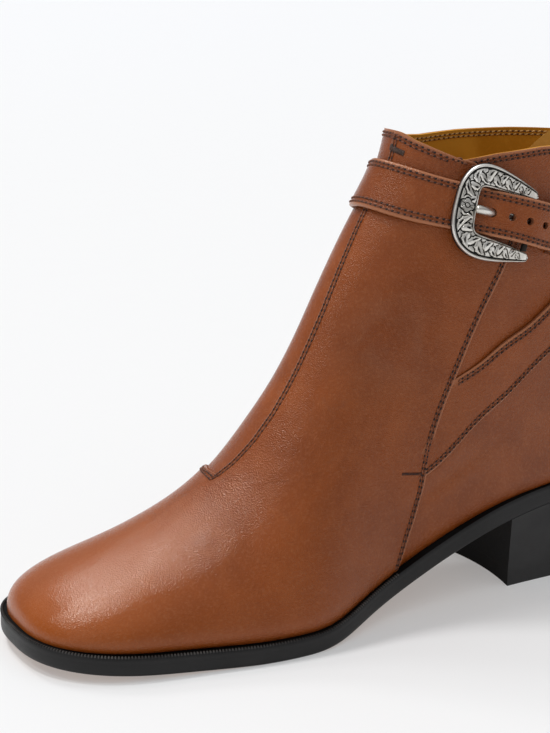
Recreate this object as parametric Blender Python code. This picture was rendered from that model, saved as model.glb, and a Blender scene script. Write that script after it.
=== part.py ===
# Buckle ankle boot for the left foot: +X to the toe, +Y to the outer side, +Z up, floor at Z = 0.
# Sizes are written in millimetres and become metres where a mesh is made.
import bpy
import numpy as np

for old in list(bpy.data.objects):
    bpy.data.objects.remove(old, do_unlink=True)

MM = 0.001
GAP = 0.3                # clearance between pieces that meet

# Driving sizes of the last
LENGTH = 257.0           # feather edge, heel to toe
BALL_WIDTH = 88.0
COLLAR_HEIGHT = 186.0    # front corner of the collar above the floor
BACK_HEIGHT = 178.5      # back of the collar above the floor
TOE_SWING = 8.0          # the toe turns in by this much

# Leather
WALL = 2.0               # upper and lining together
PANEL_STEP = 1.2         # lapped front panel above the quarters
TUCK = 2.2               # the upper rolls in above the welt
TUCK_HEIGHT = 8.0
FOOT_FROM, FOOT_FULL = 85.0, 160.0       # along the length, shaft sections turn into foot sections here
SHAFT_FROM, SHAFT_FULL = 90.0, 150.0     # up the front, foot sections turn into shaft sections here

# Sole
WELT = 2.6
WELT_REACH = 5.0         # welt under the upper
INSOLE_INSET = 5.6
INSOLE_THICK = 4.4
SOLE_ROUND = 0.7
BREAST = 60.0            # front of the heel
BREAST_HOLLOW = 3.5
LIFT_THICK = 6.0
HEEL_TAPER = 2.0
HEEL_LEAN = 4.0

# Strap and buckle
STRAP_THICK = 2.0
SHAFT_CENTRE = 55.0      # angles round the shaft turn about this point, from the toe to the outer side
BAR_ANGLE = 439.0
BAR_RADIUS = 1.2
BAR_LIFT = 3.3           # middle of the bar above the quarter
PRONG_RADIUS = 1.15
CHAPE_LAYER = 1.2
FRAME_THICK = 2.6
HOLE_RADIUS = 1.5
HOLE_PITCH = 7.4
PRONG_SLOT = 4.6         # half length of the hole that the prong fills
KEEPER_METAL = 0.9
KEEPER_FROM, KEEPER_TO = 12.5, 19.5
KEEPER_LOW, KEEPER_TOP = 0.35, 7.1       # its lower metal and the underside of its upper metal
KEEPER_ROOM = 0.6                        # clearance beside the strap
STRAP_SOFT = 0.5                         # rounding of the strap's upper edges
TIP_LENGTH, TIP_BLUNT = 9.0, 0.35
SQUARE_FROM, SQUARE_TO = -80.0, -60.0     # the strap's cross lines turn square to it here
PUNCH_OVER = 1.2                         # cutters run past the strap by this much

# Mesh counts
LEVELS = 30
INNER_STEP = 3
PANEL_POINTS = 36
QUARTER_POINTS = 32


class Curve:
    # Natural cubic curve through knots.
    def __init__(self, knots, values):
        self.knots = np.array(knots, float)
        self.values = np.array(values, float)
        self.steps = np.diff(self.knots)
        slopes = np.diff(self.values) / self.steps
        count = len(self.knots)
        matrix = np.eye(count)
        right = np.zeros(count)
        for row in range(1, count - 1):
            near, far = self.steps[row - 1], self.steps[row]
            matrix[row, row - 1:row + 2] = near, 2 * (near + far), far
            right[row] = 6 * (slopes[row] - slopes[row - 1])
        self.bend = np.linalg.solve(matrix, right)

    def __call__(self, place):
        place = np.clip(place, self.knots[0], self.knots[-1])
        k = np.clip(np.searchsorted(self.knots, place) - 1, 0, len(self.steps) - 1)
        width = self.steps[k]
        a = (self.knots[k + 1] - place) / width
        b = 1 - a
        bow = ((a ** 3 - a) * self.bend[k] + (b ** 3 - b) * self.bend[k + 1]) * width ** 2 / 6
        return a * self.values[k] + b * self.values[k + 1] + bow


class Table:
    # Rows of numbers with named columns: the first is the place, and curves run through the others.
    def __init__(self, columns, *rows):
        self.rows = np.array(rows, float)
        names = columns.split()
        self.curves = {name: Curve(self.rows[:, 0], self.rows[:, k]) for k, name in enumerate(names) if k}

    def at(self, name, place):
        return self.curves[name](place)


def step(start, end, value):
    s = np.clip((np.asarray(value, float) - start) / (end - start), 0, 1)
    return s * s * (3 - 2 * s)


# Foot sections: place along the length, half widths from the centre line as shares of the ball width,
# and how full the section is towards its crest.
FOOT = Table("along lateral medial fullness",
             (0.30, 0.318, 0.300, 1.25),
             (0.37, 0.330, 0.292, 1.25),
             (0.44, 0.368, 0.300, 1.25),
             (0.51, 0.432, 0.335, 1.30),
             (0.58, 0.498, 0.392, 1.35),
             (0.65, 0.530, 0.447, 1.50),
             (0.71, 0.526, 0.478, 1.70),
             (0.785, 0.498, 0.474, 2.00),
             (0.885, 0.460, 0.445, 2.30),
             (1.00, 0.412, 0.405, 2.40))
TOE_START = 0.827
TOE_SQUARE = 3.0
TOE_ROUND = 0.37

# Crest of the vamp and front of the shaft, from the toe up: forward as a share of the length,
# height as a share of the collar height.
FRONT_ROWS = np.array((
    (1.000, 0.140), (0.885, 0.172), (0.830, 0.196), (0.765, 0.237), (0.7023, 0.2954), (0.6616, 0.3535),
    (0.6189, 0.435), (0.5738, 0.5307), (0.5291, 0.6477), (0.4891, 0.7468), (0.4463, 0.8438), (0.420, 0.9032),
    (0.4035, 1.000)))
CREST_CURVE = Curve(FRONT_ROWS[-3::-1, 0], FRONT_ROWS[-3::-1, 1])
FRONT_CURVE = Curve(FRONT_ROWS[1:, 1], FRONT_ROWS[1:, 0])

# Back line: height as a share of the collar height, forward in millimetres.
BACK = Table("height forward",
             (0.18, 1.5), (0.225, 0.0), (0.27, -2.2), (0.33, -3.0), (0.42, -1.6), (0.52, 1.6),
             (0.62, 4.3), (0.73, 5.6), (0.84, 5.2), (1.00, 2.5))

# Shaft sections: height share, half widths as shares of the ball width, length of the round back and front.
SHAFT = Table("height lateral medial back_round front_round",
              (0.10, 0.312, 0.305, 32, 90),
              (0.22, 0.322, 0.318, 33, 90),
              (0.30, 0.336, 0.332, 35, 88),
              (0.40, 0.350, 0.346, 39, 84),
              (0.52, 0.362, 0.358, 44, 78),
              (0.65, 0.360, 0.356, 48, 68),
              (0.78, 0.350, 0.346, 50, 60),
              (0.90, 0.338, 0.334, 50, 54),
              (1.00, 0.328, 0.324, 50, 50))

# Sole: place along the length, height of the underside and thickness of welt and outsole together.
SOLE = Table("along under thick",
             (-0.02, 35.8, 7.8), (0.08, 35.0, 7.9), (0.16, 32.9, 8.1), (0.25, 28.3, 8.5), (0.35, 20.0, 8.3),
             (0.44, 10.8, 8.3), (0.53, 3.9, 8.0), (0.585, 0.9, 7.8), (0.63, 0.0, 7.7), (0.71, 0.0, 7.7),
             (0.80, 0.8, 7.7), (0.90, 2.2, 7.6), (1.02, 4.7, 7.5))
# How far the sole stands out from the feather edge.
LEDGE = Table("along reach",
              (-0.02, 1.6), (0.20, 2.0), (0.36, 3.6), (0.50, 3.6), (0.65, 4.2), (0.85, 4.6), (1.02, 5.0))

# Collar: place from back to front, and how far the edge dips where front and back panels lap.
COLLAR = Table("along dip",
               (0.0, 0.0), (0.25, -1.0), (0.5, -2.2), (0.7, -5.4), (0.82, -8.2), (0.92, -4.0), (1.0, 0.0))

# Seams in side view: height and forward place of the lapped panel's edges.
SEAM_OUTER = Table("height forward",
                   (5.0, 126.5), (22.5, 120.7), (44.6, 112.6), (63.0, 107.8), (76.5, 103.4), (94.6, 95.2),
                   (120.0, 82.9), (136.6, 73.6), (152.0, 67.0), (162.0, 65.5), (169.0, 71.0), (178.0, 88.0))
SEAM_INNER = Table("height forward", (4.0, 154.0), (16.0, 157.0), (30.0, 162.0), (45.0, 171.0), (56.0, 184.0))

# Strap from the outer seam round the back and the inner side to the front and the tip: angle round the shaft,
# lean of the cross line, lower and upper edge above the floor, and thickness.
STRAP = Table("angle lean low high thick",
              (36, 12, 54.5, 94.5, 0.7),
              (48, 5, 70.5, 98.8, 1.0),
              (62, 0, 80.8, 104.8, 1.4),
              (84, 0, 91.5, 111.8, 1.8),
              (104, 0, 99.5, 119.6, 1.8),
              (140, 0, 111.5, 130.5, 1.8),
              (180, 0, 121.0, 139.5, 1.8),
              (225, 0, 127.5, 146.0, 1.8),
              (270, 0, 133.5, 152.0, 1.8),
              (310, 0, 143.5, 162.0, 1.9),
              (340, 0, 152.5, 171.0, 2.0),
              (360, 0, 156.5, 174.5, 2.0),
              (380, 0, 154.1, 171.5, 2.0),
              (405, 0, 149.4, 166.0, 2.0),
              (430, 0, 145.1, 161.7, 2.0),
              (450, 0, 141.5, 158.5, 2.0),
              (500, 0, 134.0, 151.0, 2.0))
# Lift of the strap off the quarter, by its distance past the bar.
STRAP_LIFT = Table("past_bar lift",
                   (-86, 0.5), (-77, 0.5), (-68, 1.6), (-40, 1.6), (-26, 1.6), (-22.5, 1.75), (-19, 3.1),
                   (-13, 5.1), (-6, 6.0), (0, 6.5), (6, 5.8), (12, 4.8), (20, 4.65), (40, 4.65))
STRAP_END = 27.0
STRAP_HALF = 8.3
PRONG_HOLE = -18.8
# Two layers of the buckle strap behind its eye: lower and upper face off the quarter.
CHAPE_LIFT = Table("past_bar low high",
                   (0, 1.4, 5.2), (7, 1.7, 4.6), (12, 1.8, 4.2), (20, 1.8, 4.1), (27, 1.0, 3.2),
                   (34, 0.7, 2.5))
CHAPE_END = 33.0

# Horseshoe frame from its tip to the middle of its closed end: distance past the bar and half height,
# along the outer and the inner edge, and how far its underside stands off the quarter.
FRAME_EDGE = Table("order outer_past outer_half inner_past inner_half",
                   (0, 2.4, 13.4, 2.4, 10.5), (1, -6.0, 15.6, -6.0, 9.9),
                   (2, -15.0, 17.4, -15.0, 9.2), (3, -23.6, 17.4, -21.8, 8.8),
                   (4, -29.6, 13.6, -24.2, 7.2), (5, -32.5, 7.2, -24.6, 3.6),
                   (6, -33.0, 0.0, -24.6, 0.0))
FRAME_LIFT = Table("past_bar lift", (-33.0, 4.3), (-22, 4.2), (-10, 2.5), (2.4, 1.7))
FRAME_LEAN = 0.7         # share of a square cross line that the frame keeps
FRAME_TILT = 0.08        # the frame hangs down towards its tips
FRAME_LEVEL = -21.0      # distance past the bar where it is level with the strap
# Middle line of the prong's shank.
PRONG_RUN = Table("past_bar lift",
                  (-25.8, 8.2), (-24.2, 8.0), (-22.0, 7.1), (-19.0, 5.3), (-16.0, 3.4), (-13.0, 2.95),
                  (-8.0, 2.95), (-1.9, 3.3))
PRONG_EYE = 1.0          # metal round the prong's eye
SWING_FROM, SWING_TO = 0.42, 1.02
BEND = 0.4891            # share of the length where the crest's line turns into the shaft's front
SAG_TOP = 0.35           # levels below this share follow the sole's curve
DIP_FROM = 0.8           # levels above this share follow the collar's dip


def swing(x):
    return -TOE_SWING * step(SWING_FROM * LENGTH, SWING_TO * LENGTH, x)


def sole_under(x):
    return np.maximum(SOLE.at("under", x / LENGTH), 0)


def feather(x):
    return sole_under(x) + SOLE.at("thick", x / LENGTH)


def toe_round(x):
    u = np.clip((x / LENGTH - TOE_START) / (1 - TOE_START), 0, 1)
    return (1 - u ** TOE_SQUARE) ** TOE_ROUND


def crest(x):
    line = CREST_CURVE(x / LENGTH) * COLLAR_HEIGHT
    base = feather(x)
    return base + (line - base) * toe_round(x)


def front_at(z):
    return FRONT_CURVE(z / COLLAR_HEIGHT) * LENGTH


def back_at(z):
    return BACK.at("forward", z / COLLAR_HEIGHT)


def nose(u):
    return np.sqrt(1 - (1 - np.clip(u, 0, 1)) ** 2.2)


def half_width(x, z, side):
    # Half width of the upper at a point of its side view, from the centre line to the named side.
    base = feather(x)
    rise = np.clip((z - base) / np.maximum(crest(x) - base, 0.01), 0, 1)
    full = FOOT.at(side, x / LENGTH) * BALL_WIDTH * toe_round(x)
    foot = full * np.sqrt(1 - rise ** FOOT.at("fullness", x / LENGTH))
    share = z / COLLAR_HEIGHT
    back = nose((x - back_at(z)) / SHAFT.at("back_round", share))
    front = nose((front_at(z) - x) / SHAFT.at("front_round", share))
    shaft = SHAFT.at(side, share) * BALL_WIDTH * back * front
    blend = step(FOOT_FROM, FOOT_FULL, x) * (1 - step(SHAFT_FROM, SHAFT_FULL, z))
    wide = blend * foot + (1 - blend) * shaft
    tuck = TUCK * (1 - np.clip((z - base) / TUCK_HEIGHT, 0, 1)) ** 2
    return wide * (1 - tuck / (BALL_WIDTH / 2))


def front_line():
    # Dense side-view line from the feather edge at the toe up to the collar.
    u = np.linspace(0, 1, 240)
    x = LENGTH - (1 - BEND) * LENGTH * u ** 3
    z = crest(x)
    high = np.linspace(z[-1], COLLAR_HEIGHT, 60)[1:]
    return np.concatenate([x, front_at(high)]), np.concatenate([z, high])


def along(points, shares):
    # Points at even shares of a line's length.
    size = np.concatenate([[0], np.cumsum(np.linalg.norm(np.diff(points, axis=0), axis=1))])
    reach = np.asarray(shares) * size[-1]
    return np.stack([np.interp(reach, size, column) for column in points.T], 1)


FRONT_POINTS = np.stack(front_line(), 1)
LEVEL_SHARES = np.linspace(0, 1, LEVELS) ** 1.2


def level_loop(t, samples=160):
    # One closed loop round the upper: its two halves run from the front to the back.
    front_x, front_z = along(FRONT_POINTS, [t])[0]
    back_z = feather(0.0) + (BACK_HEIGHT - feather(0.0)) * t
    back_x = back_at(back_z)
    s = (1 + np.cos(np.linspace(0, np.pi, samples))) / 2
    x = back_x + (front_x - back_x) * s
    chord = feather(0.0) + (feather(LENGTH) - feather(0.0)) * s
    sag = (feather(LENGTH * s) - chord) * (1 - step(0, SAG_TOP, t))
    z = back_z + (front_z - back_z) * s + sag + COLLAR.at("dip", s) * step(DIP_FROM, 1, t)
    sides = []
    for side, sign in (("lateral", 1), ("medial", -1)):
        wide = half_width(x, z, side)
        wide[0] = 0
        wide[-1] = 0
        sides.append(np.stack([x, swing(x) + sign * wide, z], 1))
    return sides


def cut_index(half, seam):
    # First sample, from the front, that lies behind a seam.
    behind = half[:, 0] < seam.at("forward", half[:, 2])
    return int(np.argmax(behind))


def sectors(t):
    # The loop as two runs: the lapped panel, and the quarters behind it.
    lateral, medial = level_loop(t)
    outer = max(cut_index(lateral, SEAM_OUTER), 2)
    crest_x, crest_z = lateral[0, 0], lateral[0, 2]
    inner = 0
    if crest_z < SEAM_INNER.rows[-1, 0] or crest_x > SEAM_INNER.rows[-1, 1]:
        inner = cut_index(medial, SEAM_INNER)
    panel = np.concatenate([lateral[outer::-1], medial[1:inner + 1]])
    rest = np.concatenate([medial[inner:], lateral[-2:outer - 1:-1]])
    return panel, rest


def surface_grid(shares):
    # Levels by points round the loop, with outward normals; panel points come first.
    rows = []
    for t in shares:
        panel, rest = sectors(t)
        rows.append(np.concatenate([along(panel, np.linspace(0, 1, PANEL_POINTS)),
                                    along(rest, np.linspace(0, 1, QUARTER_POINTS))]))
    grid = np.array(rows)
    ring = np.concatenate([grid[:, :PANEL_POINTS], grid[:, PANEL_POINTS + 1:-1]], 1)
    round_way = np.roll(ring, -1, 1) - np.roll(ring, 1, 1)
    up_way = np.gradient(ring, axis=0)
    normal = np.cross(up_way, round_way)
    normal /= np.linalg.norm(normal, axis=2, keepdims=True)
    middle = ring.mean(1, keepdims=True)
    if np.sum(normal * (ring - middle)) < 0:
        normal = -normal
    first = normal[:, :PANEL_POINTS]
    other = np.concatenate([first[:, -1:], normal[:, PANEL_POINTS:], first[:, :1]], 1)
    return grid, np.concatenate([first, other], 1)


def shell_point(angle, z, lift=0.0):
    # Point on the quarter at an angle round the shaft and a height, lifted along the outward normal.
    angle, z, lift = np.broadcast_arrays(*(np.asarray(v, float) for v in (angle, z, lift)))

    def on_shell(a, h):
        turn = np.radians(a)
        near, far = np.zeros(a.shape), np.full(a.shape, 0.7 * LENGTH)
        for _ in range(24):
            reach = (near + far) / 2
            x, y = SHAFT_CENTRE + reach * np.cos(turn), reach * np.sin(turn)
            off = y - swing(x)
            wide = np.where(off >= 0, half_width(x, h, "lateral"), half_width(x, h, "medial"))
            inside = (np.abs(off) < wide) | ((np.abs(off) < 1e-6) & (wide > 0))
            near, far = np.where(inside, reach, near), np.where(inside, far, reach)
        return np.stack([SHAFT_CENTRE + near * np.cos(turn), near * np.sin(turn), h], -1)

    point = on_shell(angle, z)
    across = on_shell(angle + 1.5, z) - on_shell(angle - 1.5, z)
    upward = on_shell(angle, z + 1.5) - on_shell(angle, z - 1.5)
    normal = np.cross(across, upward)
    normal /= np.linalg.norm(normal, axis=-1, keepdims=True)
    return point + normal * lift[..., None]


def strap_scale():
    # Angles along the strap's middle line with their distance past the bar.
    angle = np.linspace(STRAP.rows[0, 0], STRAP.rows[-1, 0], 500)
    middle = shell_point(angle, (STRAP.at("low", angle) + STRAP.at("high", angle)) / 2, 2.0)
    size = np.concatenate([[0], np.cumsum(np.linalg.norm(np.diff(middle, axis=0), axis=1))])
    return angle, size - np.interp(BAR_ANGLE, angle, size)


SCALE_ANGLE, SCALE_PAST = strap_scale()


def angle_at(past):
    return np.interp(past, SCALE_PAST, SCALE_ANGLE)


def strap_middle(past):
    angle = angle_at(past)
    return (STRAP.at("low", angle) + STRAP.at("high", angle)) / 2


def strap_lean(past, across):
    # Distance past the bar and height of a point square across from the strap's middle line.
    rise = (strap_middle(past + 1) - strap_middle(past - 1)) / 2
    size = np.hypot(1, rise)
    return past - across * rise / size, strap_middle(past) + across / size


def strap_point(past, across, lift):
    # Point over the strap: distance past the bar, place across in millimetres, and lift off the quarter.
    place, z = strap_lean(past, across)
    return shell_point(angle_at(place), z, lift)


def make(name, points, faces, colour, rough, metallic=0.0):
    mesh = bpy.data.meshes.new(name)
    spots = [tuple(p) for p in np.asarray(points) * MM]
    mesh.from_pydata(spots, [], [tuple(int(v) for v in f) for f in faces])
    mesh.validate()
    mesh.update()
    mesh.shade_smooth()
    mesh.set_sharp_from_angle(angle=0.6)
    obj = bpy.data.objects.new(name, mesh)
    bpy.context.collection.objects.link(obj)
    material = bpy.data.materials.new(name + "_finish")
    material.use_nodes = True
    shader = material.node_tree.nodes["Principled BSDF"]
    shader.inputs["Base Color"].default_value = (*colour, 1)
    shader.inputs["Roughness"].default_value = rough
    shader.inputs["Metallic"].default_value = metallic
    mesh.materials.append(material)
    return obj


def tube_faces(rows, columns, closed_rows=False, flip=False):
    # Quads between rows of a closed ring of columns.
    faces = []
    for r in range(rows if closed_rows else rows - 1):
        for c in range(columns):
            d = (c + 1) % columns
            q = (r + 1) % rows
            face = (r * columns + c, r * columns + d, q * columns + d, q * columns + c)
            faces.append(face[::-1] if flip else face)
    return faces


def swept(name, rings, colour, rough, metallic=0.0, closed=False):
    # Solid through rings of equal count, capped at both ends unless it closes on itself.
    count, sides = rings.shape[:2]
    faces = tube_faces(count, sides, closed)
    if not closed:
        faces.append(tuple(range(sides))[::-1])
        faces.append(tuple((count - 1) * sides + k for k in range(sides)))
    points = rings.reshape(-1, 3)
    if volume(points, faces) < 0:
        faces = [f[::-1] for f in faces]
    return make(name, points, faces, colour, rough, metallic)


def volume(points, faces):
    total = 0.0
    for f in faces:
        a = points[f[0]]
        for k in range(1, len(f) - 1):
            total += np.dot(a, np.cross(points[f[k]], points[f[k + 1]]))
    return total / 6


def make_upper():
    # Outer wall with its lapped step, inner wall, and the rims that join them at collar and feather edge.
    grid, normal = surface_grid(LEVEL_SHARES)
    raised = np.zeros(grid.shape[1])
    raised[:PANEL_POINTS] = PANEL_STEP
    outer = grid + normal * raised[None, :, None]
    outer[..., 2] = np.maximum(outer[..., 2], feather(outer[..., 0]))
    picks = list(range(0, LEVELS - 1, INNER_STEP)) + [LEVELS - 1]
    inner = np.delete(grid - normal * WALL, [PANEL_POINTS, grid.shape[1] - 1], axis=1)[picks]
    inner[..., 2] = np.maximum(inner[..., 2], feather(inner[..., 0]))
    across = outer.shape[1]
    within = inner.shape[1]
    points = np.concatenate([outer.reshape(-1, 3), inner.reshape(-1, 3)])
    start = LEVELS * across
    faces = tube_faces(LEVELS, across)
    faces += [tuple(start + v for v in f) for f in tube_faces(len(picks), within, flip=True)]
    match = list(range(PANEL_POINTS)) + [PANEL_POINTS - 1]
    match += list(range(PANEL_POINTS, within)) + [0]
    for outer_row, inner_row, flip in ((0, 0, True), (LEVELS - 1, len(picks) - 1, False)):
        for c in range(across):
            d = (c + 1) % across
            face = [outer_row * across + c, outer_row * across + d,
                    start + inner_row * within + match[d], start + inner_row * within + match[c]]
            if face[2] == face[3]:
                face = face[:3]
            faces.append(tuple(face[::-1] if flip else face))
    if volume(points, faces) < 0:
        faces = [f[::-1] for f in faces]
    return make("upper", points, faces, (0.36, 0.13, 0.045), 0.38)


def plan_loop(grow, count=64):
    # Feather edge in plan, grown outwards by a distance or by the sole's ledge.
    lateral, medial = level_loop(0.0, 240)
    half = np.linspace(0, 1, count // 2 + 1)
    loop = np.concatenate([along(lateral, half), along(medial[::-1], half)[1:-1]])[:, :2]
    way = np.roll(loop, -1, 0) - np.roll(loop, 1, 0)
    normal = np.stack([way[:, 1], -way[:, 0]], 1)
    normal /= np.linalg.norm(normal, axis=1, keepdims=True)
    reach = LEDGE.at("reach", loop[:, 0] / LENGTH) if grow is None else np.full(len(loop), float(grow))
    return loop + normal * reach[:, None]


def plate(name, loops, heights, colour, rough, across=6):
    # Closed plate: stacked loops for the side wall, with top and bottom filled from outer to inner side.
    count = len(loops[0])
    half = count // 2
    rings = [np.concatenate([loop, z(loop[:, 0])[:, None]], 1) for loop, z in zip(loops, heights)]
    points = [np.concatenate(rings)]
    faces = tube_faces(len(rings), count)
    total = len(rings) * count
    for ring, z, base, flip in ((rings[0], heights[0], 0, False),
                                (rings[-1], heights[-1], (len(rings) - 1) * count, True)):
        index = {}
        extra = []
        for i in range(half + 1):
            mate = (count - i) % count
            for j in range(across + 1):
                if i in (0, half) or j == 0:
                    index[i, j] = base + i
                elif j == across:
                    index[i, j] = base + mate
                else:
                    spot = ring[i] + (ring[mate] - ring[i]) * j / across
                    spot[2] = z(spot[:1])[0]
                    index[i, j] = total
                    extra.append(spot)
                    total += 1
        points.append(np.array(extra))
        for i in range(half):
            for j in range(across):
                face = [index[i, j], index[i, j + 1], index[i + 1, j + 1], index[i + 1, j]]
                face = [v for k, v in enumerate(face) if v != face[k - 1]]
                faces.append(tuple(face[::-1] if flip else face))
    points = np.concatenate(points)
    if volume(points, faces) < 0:
        faces = [f[::-1] for f in faces]
    return make(name, points, faces, colour, rough)


def make_sole():
    edge = plan_loop(None)

    def welt_top(x):
        return feather(x) - GAP

    def welt_low(x):
        return feather(x) - GAP - WELT

    def out_top(x):
        return feather(x) - 2 * GAP - WELT

    def corner(x):
        return sole_under(x) + SOLE_ROUND

    inside = plan_loop(-WELT_REACH)
    rings = [np.concatenate([loop, z(loop[:, 0])[:, None]], 1)
             for loop, z in ((edge, welt_low), (edge, welt_top), (inside, welt_top), (inside, welt_low))]
    swept("welt", np.stack(rings, 1), (0.02, 0.018, 0.017), 0.5, closed=True)
    trimmed = plan_loop(None) + (plan_loop(-SOLE_ROUND) - plan_loop(0))
    plate("outsole", [trimmed, edge, edge], [sole_under, corner, out_top], (0.03, 0.028, 0.027), 0.45)

    def board_low(x):
        return feather(x) - GAP - WELT

    def board_top(x):
        return board_low(x) + INSOLE_THICK

    board = plan_loop(-INSOLE_INSET, 40)
    plate("insole", [board, board], [board_low, board_top], (0.45, 0.27, 0.11), 0.6, across=4)


def heel_solid(name, low, high, inset_low, inset_high, colour, stations=12, across=6):
    # Block with a hollow breast: low and high are heights, or the underside of the sole.
    edge = plan_loop(None, 240)
    half = 120
    lateral, medial = edge[:half + 1][::-1], np.concatenate([edge[half:], edge[:1]])
    back = edge[half, 0]
    grids = []
    for height, inset, lean in ((low, inset_low[0], inset_low[1]), (high, inset_high[0], inset_high[1])):
        grid = []
        for f in np.sin(np.linspace(0, np.pi / 2, stations)):
            x = BREAST + (back - BREAST) * f
            y_out = np.interp(x, lateral[:, 0], lateral[:, 1])
            y_in = np.interp(x, medial[:, 0], medial[:, 1])
            for c in np.linspace(-1, 1, across + 1):
                hollow = BREAST_HOLLOW * (1 - c * c) * (1 - f)
                squeeze = 1 - inset / (y_out - y_in + 1e-6) * 2 if f < 1 else 0
                y = (y_out + y_in) / 2 + c * (y_out - y_in) / 2 * max(squeeze, 0)
                spot_x = x - hollow + lean * f
                z = height if np.isscalar(height) else float(height(np.array([spot_x]))[0])
                grid.append((spot_x, y, z))
        grids.append(np.array(grid).reshape(stations, across + 1, 3))
    points, faces = [], []
    index = np.zeros((2, stations, across + 1), int)
    for g, grid in enumerate(grids):
        for i in range(stations):
            for j in range(across + 1):
                if i == stations - 1 and j > 0:
                    index[g, i, j] = index[g, i, 0]
                    continue
                index[g, i, j] = len(points)
                points.append(grid[i, j] if i < stations - 1 else grid[i, across // 2])

    def add(*corners):
        face = [v for k, v in enumerate(corners) if v != corners[k - 1]]
        faces.append(tuple(face))

    for i in range(stations - 1):
        for j in range(across):
            add(index[0, i, j], index[0, i, j + 1], index[0, i + 1, j + 1], index[0, i + 1, j])
            add(index[1, i, j], index[1, i + 1, j], index[1, i + 1, j + 1], index[1, i, j + 1])
        for j, flip in ((0, False), (across, True)):
            wall = [index[0, i, j], index[0, i + 1, j], index[1, i + 1, j], index[1, i, j]]
            add(*(wall[::-1] if flip else wall))
    for j in range(across):
        add(index[0, 0, j + 1], index[0, 0, j], index[1, 0, j], index[1, 0, j + 1])
    points = np.array(points)
    if volume(points, faces) < 0:
        faces = [f[::-1] for f in faces]
    return make(name, points, faces, colour, 0.45)


def make_heel():
    black = (0.022, 0.02, 0.019)
    joint = LIFT_THICK + GAP / 2
    heel_solid("heel_block", joint, lambda x: sole_under(x) - GAP, (HEEL_TAPER, HEEL_LEAN), (0.4, 0.4), black)
    heel_solid("top_lift", 0.0, LIFT_THICK - GAP / 2, (HEEL_TAPER, HEEL_LEAN), (HEEL_TAPER, HEEL_LEAN), black)


def make_strap():
    # Long strap: its stations follow the angle table, and its tip is cut to a soft point.
    start = STRAP.rows[0, 0] + 1.2
    end = angle_at(STRAP_END)
    angle = np.concatenate([np.linspace(start, angle_at(-45), 62), np.linspace(angle_at(-43), end, 32)])
    past = np.interp(angle, SCALE_ANGLE, SCALE_PAST)
    low, high = STRAP.at("low", angle), STRAP.at("high", angle)
    lean = STRAP.at("lean", angle)
    tip = TIP_BLUNT + (1 - TIP_BLUNT) * np.sqrt(np.clip((STRAP_END - past) / TIP_LENGTH, 0, 1))
    middle, half = (low + high) / 2, (high - low) / 2 * tip
    lift = STRAP_LIFT.at("lift", past)
    thick = STRAP.at("thick", angle)
    ring = []
    for share, part in ((-1, 0), (0, 0), (1, 0), (1, 0.5), (1, 1), (0, 1), (-1, 1), (-1, 0.5)):
        inset = STRAP_SOFT if part == 1 and share else 0
        across = share * (half - inset)
        square = angle_at(strap_lean(past, across)[0]) - angle
        turned = angle + lean / 2 * share + square * step(SQUARE_FROM, SQUARE_TO, past)
        ring.append(shell_point(turned, middle + across, lift + thick * part))
    strap = swept("ankle_strap", np.stack(ring, 1), (0.36, 0.13, 0.045), 0.4)
    places = [(PRONG_HOLE, PRONG_SLOT)] + [(PRONG_HOLE + HOLE_PITCH * k, HOLE_RADIUS) for k in range(1, 5)]
    for number, (place, reach) in enumerate(places):
        punch(strap, "punch_%d" % number, place, reach)


def punch(target, name, place, reach):
    # Round or long hole through the strap.
    sides = 12
    turn = np.linspace(0, 2 * np.pi, sides, endpoint=False)
    lift = float(STRAP_LIFT.at("lift", place))
    rings = [strap_point(place + reach * np.cos(turn), HOLE_RADIUS * np.sin(turn), lift + height)
             for height in (-PUNCH_OVER, STRAP_THICK + PUNCH_OVER)]
    cutter = swept(name, np.stack(rings), (0.1, 0.1, 0.1), 0.5)
    cutter.hide_render = True
    cutter.display_type = "WIRE"
    cut = target.modifiers.new(name, "BOOLEAN")
    cut.operation = "DIFFERENCE"
    cut.object = cutter
    cut.solver = "EXACT"


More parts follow.
